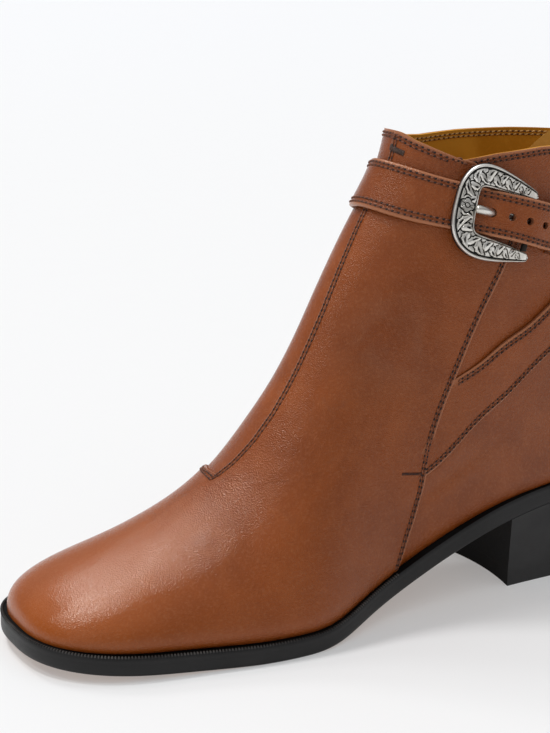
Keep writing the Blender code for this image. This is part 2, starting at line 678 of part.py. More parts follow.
def make_chape():
    # Short strap folded round the bar: an eye at its front end and two layers behind it.
    hole = BAR_RADIUS + GAP
    eye = hole + CHAPE_LAYER
    turns = np.radians(np.linspace(60, 300, 13))
    tail = np.linspace(5.0, CHAPE_END, 8)
    top = [(p, CHAPE_LIFT.at("high", p)) for p in tail]
    low = [(p, CHAPE_LIFT.at("low", p)) for p in tail[::-1]]
    round_part = [(eye * np.cos(a), BAR_LIFT + eye * np.sin(a)) for a in turns]
    outline = np.array(round_part + low[::-1] + top[::-1])
    closing = np.radians(np.linspace(300, 420, 5)[1:-1])
    turn = np.concatenate([turns, closing])
    bore = np.stack([hole * np.cos(turn), BAR_LIFT + hole * np.sin(turn)], 1)
    wide = np.linspace(-1, 1, 5) * (STRAP_HALF - GAP)
    rows, count, inside = len(wide), len(outline), len(bore)
    outer = [strap_point(outline[:, 0], np.full(count, v), outline[:, 1]) for v in wide]
    inner = [strap_point(bore[:, 0], np.full(inside, v), bore[:, 1]) for v in wide]
    points = np.concatenate(outer + inner)
    shift = rows * count
    faces = tube_faces(rows, count)
    faces += [tuple(shift + v for v in f) for f in tube_faces(rows, inside, flip=True)]
    first, last, end = len(turns), count - 1, len(turns) - 1
    for row, flip in ((0, True), (rows - 1, False)):
        a, b = row * count, shift + row * inside
        side = [(a + k, a + k + 1, b + k + 1, b + k) for k in range(end)]
        side.append((a + end, a + first, b + first, b + end))
        side.append((a + first, a + last, b + first + 2, b + first + 1, b + first))
        side.append((a + last, a, b, b + first + 2))
        for k in range(len(tail) - 1):
            side.append((a + first + k, a + first + k + 1, a + last - k - 1, a + last - k))
        faces += [f[::-1] if flip else f for f in side]
    if volume(points, faces) < 0:
        faces = [f[::-1] for f in faces]
    chape = make("buckle_strap", points, faces, (0.34, 0.12, 0.042), 0.42)
    slot = PRONG_RADIUS + 2 * GAP
    front, rear = -2 * eye, eye + 2 * GAP
    box = [strap_point(np.array([p]), np.array([v]), np.array([h]))[0]
           for h in (-GAP, BAR_LIFT + 2 * eye)
           for p, v in ((front, -slot), (rear, -slot), (rear, slot), (front, slot))]
    cutter = swept("prong_slot", np.array(box).reshape(2, 4, 3), (0.1, 0.1, 0.1), 0.5)
    cutter.hide_render = True
    cutter.display_type = "WIRE"
    cut = chape.modifiers.new("prong_slot", "BOOLEAN")
    cut.operation = "DIFFERENCE"
    cut.object = cutter
    cut.solver = "EXACT"


def frame_paths(stations=19):
    # Outer and inner edge of the horseshoe, from the upper tip round the closed end to the lower tip.
    order = np.linspace(0, FRAME_EDGE.rows[-1, 0], stations)
    names = ("outer_past", "outer_half", "inner_past", "inner_half")
    upper = np.stack([FRAME_EDGE.at(name, order) for name in names], 1)
    lower = upper[-2::-1] * np.array([1, -1, 1, -1])
    return np.concatenate([upper, lower])


def frame_point(past, across, lift):
    hang = FRAME_TILT * (past - FRAME_LEVEL)
    place, z = strap_lean(past, across - hang)
    return shell_point(angle_at(past + FRAME_LEAN * (place - past)), z, lift)


def make_frame():
    rings = []
    for outer_past, outer_half, inner_past, inner_half in frame_paths():
        ring = []
        for share, rise in ((0.0, 0.0), (1.0, 0.0), (1.0, 0.65), (0.85, 1.0), (0.15, 1.0), (0.0, 0.65)):
            past = inner_past + (outer_past - inner_past) * share
            half = inner_half + (outer_half - inner_half) * share
            lift = FRAME_LIFT.at("lift", past) + FRAME_THICK * rise
            ring.append(frame_point(np.array([past]), np.array([half]), np.array([lift]))[0])
        rings.append(ring)
    swept("buckle_frame", np.array(rings), (0.55, 0.54, 0.52), 0.3, 1.0)


def rod_ring(past, across, lift, radius, way, sides=10):
    # Ring of a round rod: way says whether the rod runs across the strap or along it.
    turn = np.linspace(0, 2 * np.pi, sides, endpoint=False)
    if way == "across":
        return strap_point(past + radius * np.cos(turn), np.full(sides, across), lift + radius * np.sin(turn))
    return strap_point(np.full(sides, past), across + radius * np.cos(turn), lift + radius * np.sin(turn))


def make_bar_and_prong():
    hang = FRAME_TILT * FRAME_LEVEL
    reach = np.interp(0.0, FRAME_EDGE.rows[1::-1, 3], FRAME_EDGE.rows[1::-1, 4]) - 2 * GAP
    spots = np.linspace(-reach, reach, 7) + hang
    bar = [rod_ring(0.0, v, BAR_LIFT, BAR_RADIUS, "across") for v in spots]
    swept("buckle_bar", np.array(bar), (0.55, 0.54, 0.52), 0.3, 1.0)
    hole = BAR_RADIUS + GAP
    eye = hole + PRONG_EYE
    turn = np.linspace(0, 2 * np.pi, 16, endpoint=False)
    rings = []
    for radius, way in ((hole, -1), (eye, -1), (eye, 1), (hole, 1)):
        across = np.full(len(turn), way * PRONG_RADIUS)
        rings.append(strap_point(radius * np.cos(turn), across, BAR_LIFT + radius * np.sin(turn)))
    prong = swept("buckle_prong", np.stack(rings, 1), (0.6, 0.59, 0.57), 0.28, 1.0, closed=True)
    rod = []
    for past in np.linspace(PRONG_RUN.rows[0, 0], PRONG_RUN.rows[-1, 0], 12):
        slim = 0.8 if past == PRONG_RUN.rows[0, 0] else 1.0
        rod.append(rod_ring(past, 0.0, float(PRONG_RUN.at("lift", past)), PRONG_RADIUS * slim, "along"))
    shank = swept("prong_shank", np.array(rod), (0.6, 0.59, 0.57), 0.28, 1.0)
    join = prong.modifiers.new("shank", "BOOLEAN")
    join.operation = "UNION"
    join.object = shank
    join.solver = "EXACT"
    shank.hide_render = True
    shank.display_type = "WIRE"


def make_keeper():
    # Metal loop round the buckle strap and the strap's tip.
    half = STRAP_HALF + KEEPER_ROOM
    wide = half + KEEPER_METAL + GAP
    low, high = KEEPER_LOW, KEEPER_LOW + KEEPER_METAL
    over = KEEPER_TOP + KEEPER_METAL
    round_out, round_in = KEEPER_METAL, KEEPER_ROOM
    outer = [(-wide, low), (-wide, over - round_out), (-wide + round_out, over), (0, over),
             (wide - round_out, over), (wide, over - round_out), (wide, low), (0, low)]
    inner = [(-half, high), (-half, KEEPER_TOP - round_in), (-half + round_in, KEEPER_TOP), (0, KEEPER_TOP),
             (half - round_in, KEEPER_TOP), (half, KEEPER_TOP - round_in), (half, high), (0, high)]
    rings = []
    for (vo, ho), (vi, hi) in zip(outer, inner):
        past = np.array([KEEPER_FROM, KEEPER_TO, KEEPER_TO, KEEPER_FROM])
        rings.append(strap_point(past, np.array([vo, vo, vi, vi]), np.array([ho, ho, hi, hi])))
    swept("keeper", np.array(rings), (0.55, 0.54, 0.52), 0.3, 1.0, closed=True)


def centre_on_floor():
    # Move everything so that the box of the whole boot stands centred on the origin.
    pieces = [o for o in bpy.data.objects if o.type == "MESH"]
    shown = [o for o in pieces if not o.hide_render]
    spots = np.array([v.co for o in shown for v in o.data.vertices])
    low, high = spots.min(0), spots.max(0)
    shift = np.array([-(low[0] + high[0]) / 2, -(low[1] + high[1]) / 2, -low[2]])
    for piece in pieces:
        for vertex in piece.data.vertices:
            vertex.co.x += shift[0]
            vertex.co.y += shift[1]
            vertex.co.z += shift[2]
        piece.data.update()
    return shift


make_upper()
make_sole()
make_heel()
make_strap()
make_chape()
make_frame()
make_bar_and_prong()
make_keeper()
SHIFT = centre_on_floor()
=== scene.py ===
import math
import bpy
import numpy as np
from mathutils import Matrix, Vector
from mathutils.bvhtree import BVHTree


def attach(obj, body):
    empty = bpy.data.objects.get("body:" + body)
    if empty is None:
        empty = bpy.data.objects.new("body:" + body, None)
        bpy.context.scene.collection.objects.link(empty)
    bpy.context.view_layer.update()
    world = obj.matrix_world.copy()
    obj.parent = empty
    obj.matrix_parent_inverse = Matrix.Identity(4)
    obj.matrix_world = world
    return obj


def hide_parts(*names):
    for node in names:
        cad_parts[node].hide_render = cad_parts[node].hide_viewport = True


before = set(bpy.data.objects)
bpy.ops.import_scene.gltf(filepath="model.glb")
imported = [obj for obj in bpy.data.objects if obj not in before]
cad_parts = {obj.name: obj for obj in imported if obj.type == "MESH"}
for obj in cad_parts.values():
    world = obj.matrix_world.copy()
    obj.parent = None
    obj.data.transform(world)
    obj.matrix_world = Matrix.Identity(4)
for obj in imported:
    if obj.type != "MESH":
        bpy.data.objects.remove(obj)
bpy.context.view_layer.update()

# sizes are in millimetres on the last, as in the part: x from heel to toe, y to the outer side, z up
rowShift = np.array([-129.49689, 1.78112, 0.0])   # from the last's origin to the row's
lastSize = {
    "length": 257.0, "ballWidth": 88.0, "collarHeight": 186.0, "backHeight": 178.5, "toeSwing": 8.0,
    "wall": 2.0, "panelStep": 1.2, "tuck": 2.2, "tuckHeight": 8.0,
    "footFrom": 85.0, "footFull": 160.0, "shaftFrom": 90.0, "shaftFull": 150.0,
    "toeStart": 0.827, "toeSquare": 3.0, "toeRound": 0.37,
    "swingFrom": 0.42, "swingTo": 1.02, "bend": 0.4891, "sagTop": 0.35, "dipFrom": 0.8, "shaftCentre": 55.0,
}
length, ballWidth, collarHeight = lastSize["length"], lastSize["ballWidth"], lastSize["collarHeight"]


class Curve:
    # natural cubic through knots
    def __init__(self, knots, values):
        self.knots, self.values = np.array(knots, float), np.array(values, float)
        self.steps = np.diff(self.knots)
        slopes = np.diff(self.values) / self.steps
        count = len(self.knots)
        matrix, right = np.eye(count), np.zeros(count)
        for row in range(1, count - 1):
            near, far = self.steps[row - 1], self.steps[row]
            matrix[row, row - 1:row + 2] = near, 2 * (near + far), far
            right[row] = 6 * (slopes[row] - slopes[row - 1])
        self.bend = np.linalg.solve(matrix, right)

    def __call__(self, place):
        place = np.clip(place, self.knots[0], self.knots[-1])
        k = np.clip(np.searchsorted(self.knots, place) - 1, 0, len(self.steps) - 1)
        width = self.steps[k]
        a = (self.knots[k + 1] - place) / width
        b = 1 - a
        bow = ((a ** 3 - a) * self.bend[k] + (b ** 3 - b) * self.bend[k + 1]) * width ** 2 / 6
        return a * self.values[k] + b * self.values[k + 1] + bow


class Table:
    # rows with named columns: the first is the place
    def __init__(self, columns, *rows):
        self.rows = np.array(rows, float)
        self.curves = {n: Curve(self.rows[:, 0], self.rows[:, k]) for k, n in enumerate(columns.split()) if k}

    def at(self, name, place):
        return self.curves[name](place)


foot = Table("along lateral medial fullness",
             (0.30, 0.318, 0.300, 1.25), (0.37, 0.330, 0.292, 1.25), (0.44, 0.368, 0.300, 1.25),
             (0.51, 0.432, 0.335, 1.30), (0.58, 0.498, 0.392, 1.35), (0.65, 0.530, 0.447, 1.50),
             (0.71, 0.526, 0.478, 1.70), (0.785, 0.498, 0.474, 2.00), (0.885, 0.460, 0.445, 2.30),
             (1.00, 0.412, 0.405, 2.40))
frontRows = np.array((
    (1.000, 0.140), (0.885, 0.172), (0.830, 0.196), (0.765, 0.237), (0.7023, 0.2954), (0.6616, 0.3535),
    (0.6189, 0.435), (0.5738, 0.5307), (0.5291, 0.6477), (0.4891, 0.7468), (0.4463, 0.8438), (0.420, 0.9032),
    (0.3975, 1.000)))
crestCurve = Curve(frontRows[-3::-1, 0], frontRows[-3::-1, 1])
frontCurve = Curve(frontRows[1:, 1], frontRows[1:, 0])
back = Table("height forward",
             (0.18, 1.5), (0.225, 0.0), (0.27, -2.2), (0.33, -3.0), (0.42, -1.6), (0.52, 1.6), (0.62, 4.3),
             (0.73, 5.6), (0.84, 5.2), (1.00, 2.5))
shaft = Table("height lateral medial backRound frontRound",
              (0.10, 0.312, 0.305, 32, 90), (0.22, 0.322, 0.318, 33, 90), (0.30, 0.336, 0.332, 35, 88),
              (0.40, 0.350, 0.346, 39, 84), (0.52, 0.362, 0.358, 44, 78), (0.65, 0.360, 0.356, 48, 68),
              (0.78, 0.350, 0.346, 50, 60), (0.90, 0.338, 0.334, 50, 54), (1.00, 0.328, 0.324, 50, 50))
sole = Table("along under thick",
             (-0.02, 35.8, 7.8), (0.08, 35.0, 7.9), (0.16, 32.9, 8.1), (0.25, 28.3, 8.5), (0.35, 20.0, 8.3),
             (0.44, 10.8, 8.3), (0.53, 3.9, 8.0), (0.585, 0.9, 7.8), (0.63, 0.0, 7.7), (0.71, 0.0, 7.7),
             (0.80, 0.8, 7.7), (0.90, 2.2, 7.6), (1.02, 4.7, 7.5))
ledge = Table("along reach",
              (-0.02, 1.6), (0.20, 2.0), (0.36, 3.6), (0.50, 3.6), (0.65, 4.2), (0.85, 4.4), (1.02, 3.5))
# collar: place from back to front, dip of the outer edge and of the inner edge
collarDip = np.array((
    (0.0, 0.0, 0.0), (0.25, -1.0, -1.0), (0.5, -2.6, -2.6), (0.7, -5.6, -4.6), (0.83, -8.6, -4.4),
    (0.92, -5.0, -1.8), (0.97, -2.6, -0.5), (1.0, 0.0, 0.0)))
seamOuter = Table("height forward",
                  (5.0, 118.8), (22.5, 113.6), (44.6, 105.6), (63.0, 101.6), (76.5, 98.2), (94.6, 91.2),
                  (120.0, 79.2), (136.6, 69.6), (152.0, 63.6), (162.0, 63.5), (169.0, 70.0), (178.0, 88.0))
seamInner = Table("height forward",
                  (4.0, 154.0), (16.0, 157.0), (30.0, 159.5), (45.0, 163.5), (53.0, 168.5), (57.0, 174.5),
                  (59.5, 184.0))


def step(start, end, value):
    s = np.clip((np.asarray(value, float) - start) / (end - start), 0, 1)
    return s * s * (3 - 2 * s)


def swing(x):
    return -lastSize["toeSwing"] * step(lastSize["swingFrom"] * length, lastSize["swingTo"] * length, x)


def soleUnder(x):
    return np.maximum(sole.at("under", x / length), 0)


def feather(x):
    return soleUnder(x) + sole.at("thick", x / length)


def toeRound(x):
    u = np.clip((x / length - lastSize["toeStart"]) / (1 - lastSize["toeStart"]), 0, 1)
    return (1 - u ** lastSize["toeSquare"]) ** lastSize["toeRound"]


def crest(x):
    line = crestCurve(x / length) * collarHeight
    base = feather(x)
    return base + (line - base) * toeRound(x)


def frontAt(z):
    return frontCurve(z / collarHeight) * length


def backAt(z):
    return back.at("forward", z / collarHeight)


def nose(u):
    return np.sqrt(1 - (1 - np.clip(u, 0, 1)) ** 2.2)


def halfWidth(x, z, side):
    base = feather(x)
    rise = np.clip((z - base) / np.maximum(crest(x) - base, 0.01), 0, 1)
    full = foot.at(side, x / length) * ballWidth * toeRound(x)
    footWide = full * np.sqrt(1 - rise ** foot.at("fullness", x / length))
    share = z / collarHeight
    behind = nose((x - backAt(z)) / shaft.at("backRound", share))
    ahead = nose((frontAt(z) - x) / shaft.at("frontRound", share))
    shaftWide = shaft.at(side, share) * ballWidth * behind * ahead
    blend = step(lastSize["footFrom"], lastSize["footFull"], x)
    blend = blend * (1 - step(lastSize["shaftFrom"], lastSize["shaftFull"], z))
    tuck = lastSize["tuck"] * (1 - np.clip((z - base) / lastSize["tuckHeight"], 0, 1)) ** 2
    return (blend * footWide + (1 - blend) * shaftWide) * (1 - tuck / (ballWidth / 2))


def along(points, shares):
    size = np.concatenate([[0], np.cumsum(np.linalg.norm(np.diff(points, axis=0), axis=1))])
    reach = np.asarray(shares) * size[-1]
    return np.stack([np.interp(reach, size, column) for column in points.T], 1)


def runLength(points):
    return np.linalg.norm(np.diff(points, axis=0), axis=1).sum()


def frontLine():
    u = np.linspace(0, 1, 400)
    x = length - (1 - lastSize["bend"]) * length * u ** 3
    z = crest(x)
    high = np.linspace(z[-1], collarHeight, 80)[1:]
    return np.stack([np.concatenate([x, frontAt(high)]), np.concatenate([z, high])], 1)


frontPoints = frontLine()


def levelLoop(t, samples=420):
    frontX, frontZ = along(frontPoints, [t])[0]
    low = feather(0.0)
    backZ = low + (lastSize["backHeight"] - low) * t
    backX = backAt(backZ)
    s = (1 + np.cos(np.linspace(0, np.pi, samples))) / 2
    x = backX + (frontX - backX) * s
    chord = low + (feather(length) - low) * s
    sag = (feather(length * s) - chord) * (1 - step(0, lastSize["sagTop"], t))
    level = backZ + (frontZ - backZ) * s + sag
    sides = []
    for side, sign, dip in (("lateral", 1, collarDip[:, 1]), ("medial", -1, collarDip[:, 2])):
        z = level + np.interp(s, collarDip[:, 0], dip) * step(lastSize["dipFrom"], 1, t)
        wide = halfWidth(x, z, side)
        wide[0] = wide[-1] = 0
        sides.append(np.stack([x, swing(x) + sign * wide, z], 1))
    return sides


def seamCut(half, seam):
    # where a half loop, from the front, first falls behind a seam
    ahead = half[:, 0] - seam.at("forward", half[:, 2])
    k = int(np.argmax(ahead < 0))
    if k == 0:
        return 1, half[0]
    share = ahead[k - 1] / (ahead[k - 1] - ahead[k])
    return k, half[k - 1] + (half[k] - half[k - 1]) * share


def loopRuns(t):
    # the lapped panel from the outer seam over the front to the inner seam, and the quarters behind it
    lateral, medial = levelLoop(t)
    outer, outerSpot = seamCut(lateral, seamOuter)
    tip = seamInner.rows[-1]
    if lateral[0, 2] < tip[0] or lateral[0, 0] > tip[1]:
        inner, innerSpot = seamCut(medial, seamInner)
        panel = np.concatenate([[outerSpot], lateral[outer - 1::-1], medial[1:inner], [innerSpot]])
        rest = np.concatenate([[innerSpot], medial[inner:], lateral[-2:outer - 1:-1], [outerSpot]])
    else:
        aside = np.interp(lateral[0, 2], *zip(*upperLook["seamAside"]))
        size = np.concatenate([[0], np.cumsum(np.linalg.norm(np.diff(lateral, axis=0), axis=1))])
        k = max(int(np.searchsorted(size, aside)), 1)
        part = (aside - size[k - 1]) / (size[k] - size[k - 1])
        innerSpot = lateral[k - 1] + (lateral[k] - lateral[k - 1]) * part
        panel = np.concatenate([[outerSpot], lateral[outer - 1:k - 1:-1], [innerSpot]])
        rest = np.concatenate([[innerSpot], lateral[k - 1::-1], medial[1:], lateral[-2:outer - 1:-1],
                               [outerSpot]])
    keep = np.concatenate([[True], np.linalg.norm(np.diff(panel, axis=0), axis=1) > 1e-6])
    return panel[keep], rest


def toRow(points):
    return (np.asarray(points) + rowShift) * 0.001


def signedVolume(points, faces):
    total = 0.0
    for f in faces:
        a = points[f[0]]
        for k in range(1, len(f) - 1):
            total += np.dot(a, np.cross(points[f[k]], points[f[k + 1]]))
    return total


def makePiece(name, points, faces, materials, kinds=None, sharp=0.7):
    points = np.asarray(points, float)
    if signedVolume(points, faces) < 0:
        faces = [f[::-1] for f in faces]
    mesh = bpy.data.meshes.new(name)
    mesh.from_pydata([tuple(p) for p in toRow(points)], [], [tuple(int(v) for v in f) for f in faces])
    for material in materials:
        mesh.materials.append(material)
    if kinds is not None:
        mesh.polygons.foreach_set("material_index", np.asarray(kinds, np.int32))
    mesh.update()
    mesh.shade_smooth()
    mesh.set_sharp_from_angle(angle=sharp)
    piece = bpy.data.objects.new(name, mesh)
    bpy.context.collection.objects.link(piece)
    return piece


def adopt(piece, slotName, *nodes):
    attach(piece, "root")
    if nodes:
        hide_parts(*nodes)


def gridFaces(rows, columns, start=0, loop=False, flip=False):
    faces = []
    for r in range(rows - 1):
        for c in range(columns if loop else columns - 1):
            d = (c + 1) % columns
            a = start + r * columns
            face = (a + c, a + d, a + columns + d, a + columns + c)
            faces.append(face[::-1] if flip else face)
    return faces


def markEdgeHighlight(piece, values):
    # one along cut edges and zero away from them, for a painted highlight along the rounded edges of the
    # leather
    tone = piece.data.attributes.new("edge", "FLOAT", "POINT")
    tone.data.foreach_set("value", np.asarray(values, np.float32).reshape(-1))


def shellSolid(name, outer, inner, materials, loop=False, sharp=0.7):
    # closed wall between two grids of one size: its rims take the second material
    rows, columns = outer.shape[:2]
    shift = rows * columns
    faces = gridFaces(rows, columns, 0, loop) + gridFaces(rows, columns, shift, loop, True)
    kinds = [0] * len(faces)
    rims = []
    for c in range(columns if loop else columns - 1):
        d = (c + 1) % columns
        rims.append((d, c, shift + c, shift + d))
        last = (rows - 1) * columns
        rims.append((last + c, last + d, shift + last + d, shift + last + c))
    if not loop:
        for r in range(rows - 1):
            a, b = r * columns, (r + 1) * columns
            rims.append((a, b, shift + b, shift + a))
            rims.append((b + columns - 1, a + columns - 1, shift + a + columns - 1, shift + b + columns - 1))
    kinds += [1 if len(materials) > 1 else 0] * len(rims)
    if len(materials) > 2:
        for c in range(columns if loop else columns - 1):
            kinds[len(faces) + 2 * c + 1] = 2
    points = np.concatenate([outer.reshape(-1, 3), inner.reshape(-1, 3)])
    return makePiece(name, points, faces + rims, materials, kinds, sharp)


# shader maths on sockets
class Val:
    def __init__(self, tree, socket):
        self.tree, self.socket = tree, socket

    def maths(self, operation, other, swap=False):
        node = self.tree.nodes.new("ShaderNodeMath")
        node.operation = operation
        sides = (self, other) if not swap else (other, self)
        for slot, value in zip(node.inputs, sides):
            if isinstance(value, Val):
                self.tree.links.new(value.socket, slot)
            else:
                slot.default_value = value
        return Val(self.tree, node.outputs[0])

    def __add__(self, other):
        return self.maths("ADD", other)

    def __radd__(self, other):
        return self.maths("ADD", other)

    def __sub__(self, other):
        return self.maths("SUBTRACT", other)

    def __rsub__(self, other):
        return self.maths("SUBTRACT", other, True)

    def __mul__(self, other):
        return self.maths("MULTIPLY", other)

    def __rmul__(self, other):
        return self.maths("MULTIPLY", other)


class Finish:
    # one material: nodes come from node(), and what varies is linked to the shader by name
    def __init__(self, name, **constants):
        self.material = bpy.data.materials.new(name)
        self.material.use_nodes = True
        self.tree = self.material.node_tree
        self.shader = self.tree.nodes["Principled BSDF"]
        for key, value in constants.items():
            self.shader.inputs[key.replace("_", " ")].default_value = value
        self.place = self.node("ShaderNodeTexCoord", out="Object")

    def node(self, kind, settings=None, sockets=None, out=0):
        node = self.tree.nodes.new(kind)
        for key, value in (settings or {}).items():
            setattr(node, key, value)
        for key, value in (sockets or {}).items():
            if isinstance(value, Val):
                self.tree.links.new(value.socket, node.inputs[key])
            else:
                node.inputs[key].default_value = value
        return Val(self.tree, node.outputs[out])

    def noise(self, scale, detail=3.0, rough=0.5, twist=0.0, vector=None):
        return self.node("ShaderNodeTexNoise", None, {
            "Vector": vector or self.place, "Scale": scale, "Detail": detail, "Roughness": rough,
            "Distortion": twist})

    def cells(self, scale):
        return self.node("ShaderNodeTexVoronoi", {"feature": "F1"}, {"Vector": self.place, "Scale": scale})

    def fade(self, value, low, high):
        return self.node("ShaderNodeMapRange", {"interpolation_type": "SMOOTHSTEP"}, {
            "Value": value, "From Min": low, "From Max": high, "To Min": 0.0, "To Max": 1.0})

    def mix(self, share, first, second):
        return self.node("ShaderNodeMix", {"data_type": "RGBA"}, {0: share, 6: first, 7: second}, 2)

    def stretch(self, scale, turn=(0, 0, 0)):
        return self.node("ShaderNodeMapping", None, {"Vector": self.place, "Scale": scale, "Rotation": turn})

    def near(self, spot, reach):
        # one at a spot of the last, in millimetres, and zero a reach away from it
        centre = tuple(float(v) for v in toRow(spot))
        away = self.node("ShaderNodeVectorMath", {"operation": "DISTANCE"}, {0: self.place, 1: centre},
                         "Value")
        return self.fade(away, reach * 0.001, 0.0)

    def attribute(self, name):
        return self.node("ShaderNodeAttribute", {"attribute_name": name}, None, "Fac")

    def bump(self, height, strength, distance, normal=None):
        sockets = {"Height": height, "Strength": strength, "Distance": distance * 0.001}
        if normal:
            sockets["Normal"] = normal
        return self.node("ShaderNodeBump", None, sockets)

    def feed(self, **links):
        for key, value in links.items():
            self.tree.links.new(value.socket, self.shader.inputs[key.replace("_", " ")])
        return self.material


def colour(red, green, blue):
    # a colour given from 0 to 255, as a linear value
    return tuple((v / 255) ** 2.2 for v in (red, green, blue)) + (1.0,)


tan = {"light": colour(150, 80, 38), "mid": colour(139, 70, 29), "dark": colour(122, 60, 25),
       # the pale greyer tan is painted sheen, a soft reflection on the darker leather
       "sheenVeil": colour(124, 72, 48), "toe": colour(152, 78, 29), "speck": colour(176, 118, 82),
       # the edge tan is painted highlight along cut edges
       "edge": colour(186, 126, 92)}


def calfLeather(name, sheened):
    look = Finish(name, Coat_Roughness=0.28, Coat_IOR=1.4, IOR=1.45, Specular_IOR_Level=0.45,
                  Specular_Tint=(1.0, 0.84, 0.72, 1.0))
    broad = look.noise(16.0, 4.0, 0.55, 0.6)
    patch = look.noise(55.0, 5.0, 0.6, 0.4)
    fine = look.noise(900.0, 3.0, 0.6)
    pebble = look.cells(1900.0)
    base = look.mix(look.fade(broad, 0.34, 0.66), tan["dark"], tan["mid"])
    base = look.mix(look.fade(patch, 0.38, 0.72) * 0.4, base, tan["light"])
    toeGlow = look.near((235, -5, 18), 75.0) * 0.6
    base = look.mix(toeGlow, base, tan["toe"])
    if sheened:
        # painted sheen: a paler, greyer veil on the outer shaft front, mottled by the patch noise
        sheenSpot = look.near((120, 34, 112), 36.0) * look.fade(patch, 0.35, 0.6) * 0.8
        base = look.mix(sheenSpot, base, tan["sheenVeil"])
        # blotches of the same painted sheen over the outer instep and vamp
        sheenBlotch = look.fade(look.noise(130.0, 4.0, 0.65, 1.2), 0.6, 0.72) * look.near((150, 35, 78), 60.0)
        base = look.mix(sheenBlotch * 0.35, base, tan["sheenVeil"])
    base = look.mix(look.fade(fine, 0.45, 0.75) * 0.16, base, tan["speck"])
    # painted highlight: a lighter tan along the cut edges, where light catches their rounded fold
    base = look.mix(look.attribute("edge") * 0.7, base, tan["edge"])
    rough = 0.13 + patch * 0.06 + fine * 0.1
    smoothToe = 1.0 - look.near((240, -6, 20), 80.0) * 0.7
    creaseWay = look.stretch((60.0, 60.0, 420.0), (0.0, 0.35, 0.0))
    wrinkle = look.noise(1.0, 4.0, 0.55, 1.0, creaseWay)
    first = look.bump(wrinkle, 0.12, 0.35)
    second = look.bump((pebble + fine * 0.6) * smoothToe, 0.85, 0.2, first)
    return look.feed(Base_Color=base, Roughness=rough, Coat_Weight=0.02 + patch * 0.12, Normal=second)


def plainLeather(name, light, dark, roughness, grain):
    look = Finish(name, IOR=1.45, Specular_IOR_Level=0.2)
    broad = look.noise(30.0, 4.0, 0.6, 0.5)
    fine = look.noise(700.0, 3.0, 0.6)
    base = look.mix(look.fade(broad, 0.32, 0.68), dark, light)
    base = look.mix(look.fade(fine, 0.4, 0.8) * 0.3, base, light)
    return look.feed(Base_Color=base, Roughness=roughness + fine * 0.15, Normal=look.bump(fine, grain, 0.15))


def blackEdge(name, lines, dark, light):
    look = Finish(name, IOR=1.45, Coat_Roughness=0.35, Coat_IOR=1.4, Specular_IOR_Level=0.42)
    broad = look.noise(40.0, 4.0, 0.6)
    fine = look.noise(500.0, 3.0, 0.6, 0.0, look.stretch((1.0, 1.0, lines)))
    base = look.mix(look.fade(broad, 0.3, 0.75), dark, light)
    base = look.mix(look.fade(fine, 0.55, 0.8) * 0.3, base, colour(46, 43, 42))
    return look.feed(Base_Color=base, Roughness=0.36 + fine * 0.22, Coat_Weight=0.02 + broad * 0.06,
                     Normal=look.bump(fine, 0.2, 0.12))


def threadFinish(name, light, dark):
    look = Finish(name)
    strand = look.noise(1500.0, 2.0)
    base = look.mix(look.fade(strand, 0.35, 0.7), dark, light)
    return look.feed(Base_Color=base, Roughness=0.6 + strand * 0.2, Normal=look.bump(strand, 0.3, 0.1))


def silverFinish(name, engraved):
    look = Finish(name)
    tarnish = look.noise(120.0, 4.0, 0.6, 0.3)
    fine = look.noise(900.0, 3.0, 0.6)
    raised = look.attribute("relief") if engraved else 1.0 - look.fade(tarnish, 0.55, 0.8) * 0.4
    clean = look.fade(raised, 0.16, 0.52)
    bright = look.mix(look.fade(tarnish, 0.35, 0.7), colour(208, 204, 196), colour(236, 234, 229))
    base = look.mix(clean, colour(10, 9, 9), bright)
    return look.feed(Base_Color=base, Roughness=0.56 - clean * 0.3 + fine * 0.1, Metallic=0.25 + clean * 0.75,
                     Normal=look.bump(fine, 0.1, 0.08))


panelLeather = calfLeather("panelLeather", True)
quarterLeather = calfLeather("quarterLeather", False)
strapLeather = calfLeather("strapLeather", False)
# cut edge rims: a light tan that is partly the raw edge's own colour and partly painted highlight
edgeLeather = plainLeather("cutEdge", colour(150, 96, 68), colour(112, 66, 42), 0.6, 0.2)
collarEdge = plainLeather("collarEdge", colour(170, 112, 76), colour(136, 80, 50), 0.55, 0.2)
liningLeather = plainLeather("liningLeather", colour(204, 144, 50), colour(180, 120, 30), 0.5, 0.25)
backStripLeather = plainLeather("backStripLeather", colour(226, 178, 98), colour(204, 150, 70), 0.5, 0.25)
insoleLeather = plainLeather("insoleLeather", colour(178, 134, 80), colour(150, 106, 58), 0.55, 0.2)
treadLeather = plainLeather("treadLeather", colour(176, 128, 84), colour(140, 96, 60), 0.5, 0.2)
soleEdge = blackEdge("soleEdge", 3.0, colour(18, 17, 17), colour(30, 29, 29))
# light grey ribs on the black welt: painted highlight, the pale dots of light along the welt rim
ribHighlight = plainLeather("ribHighlight", colour(82, 80, 78), colour(46, 44, 43), 0.3, 0.2)
heelEdge = blackEdge("heelEdge", 8.0, colour(32, 31, 31), colour(46, 45, 45))
# near-black: painted shadow, on the heel's breast under the arch and on the welt top under the upper
shadowBlack = plainLeather("shadowBlack", colour(7, 6, 6), colour(4, 4, 4), 0.7, 0.1)
# painted shade: the buckle bar is made near-black because it sits in shadow under the strap
shadowSteel = plainLeather("shadowSteel", colour(52, 47, 43), colour(30, 26, 24), 0.4, 0.1)
brownThread = threadFinish("brownThread", colour(134, 80, 52), colour(92, 50, 30))
# dark grains in the needle holes: painted shade in the recesses
needleHoleShade = threadFinish("needleHoleShade", colour(48, 24, 14), colour(30, 14, 8))
liningThread = threadFinish("liningThread", colour(206, 164, 100), colour(160, 116, 58))
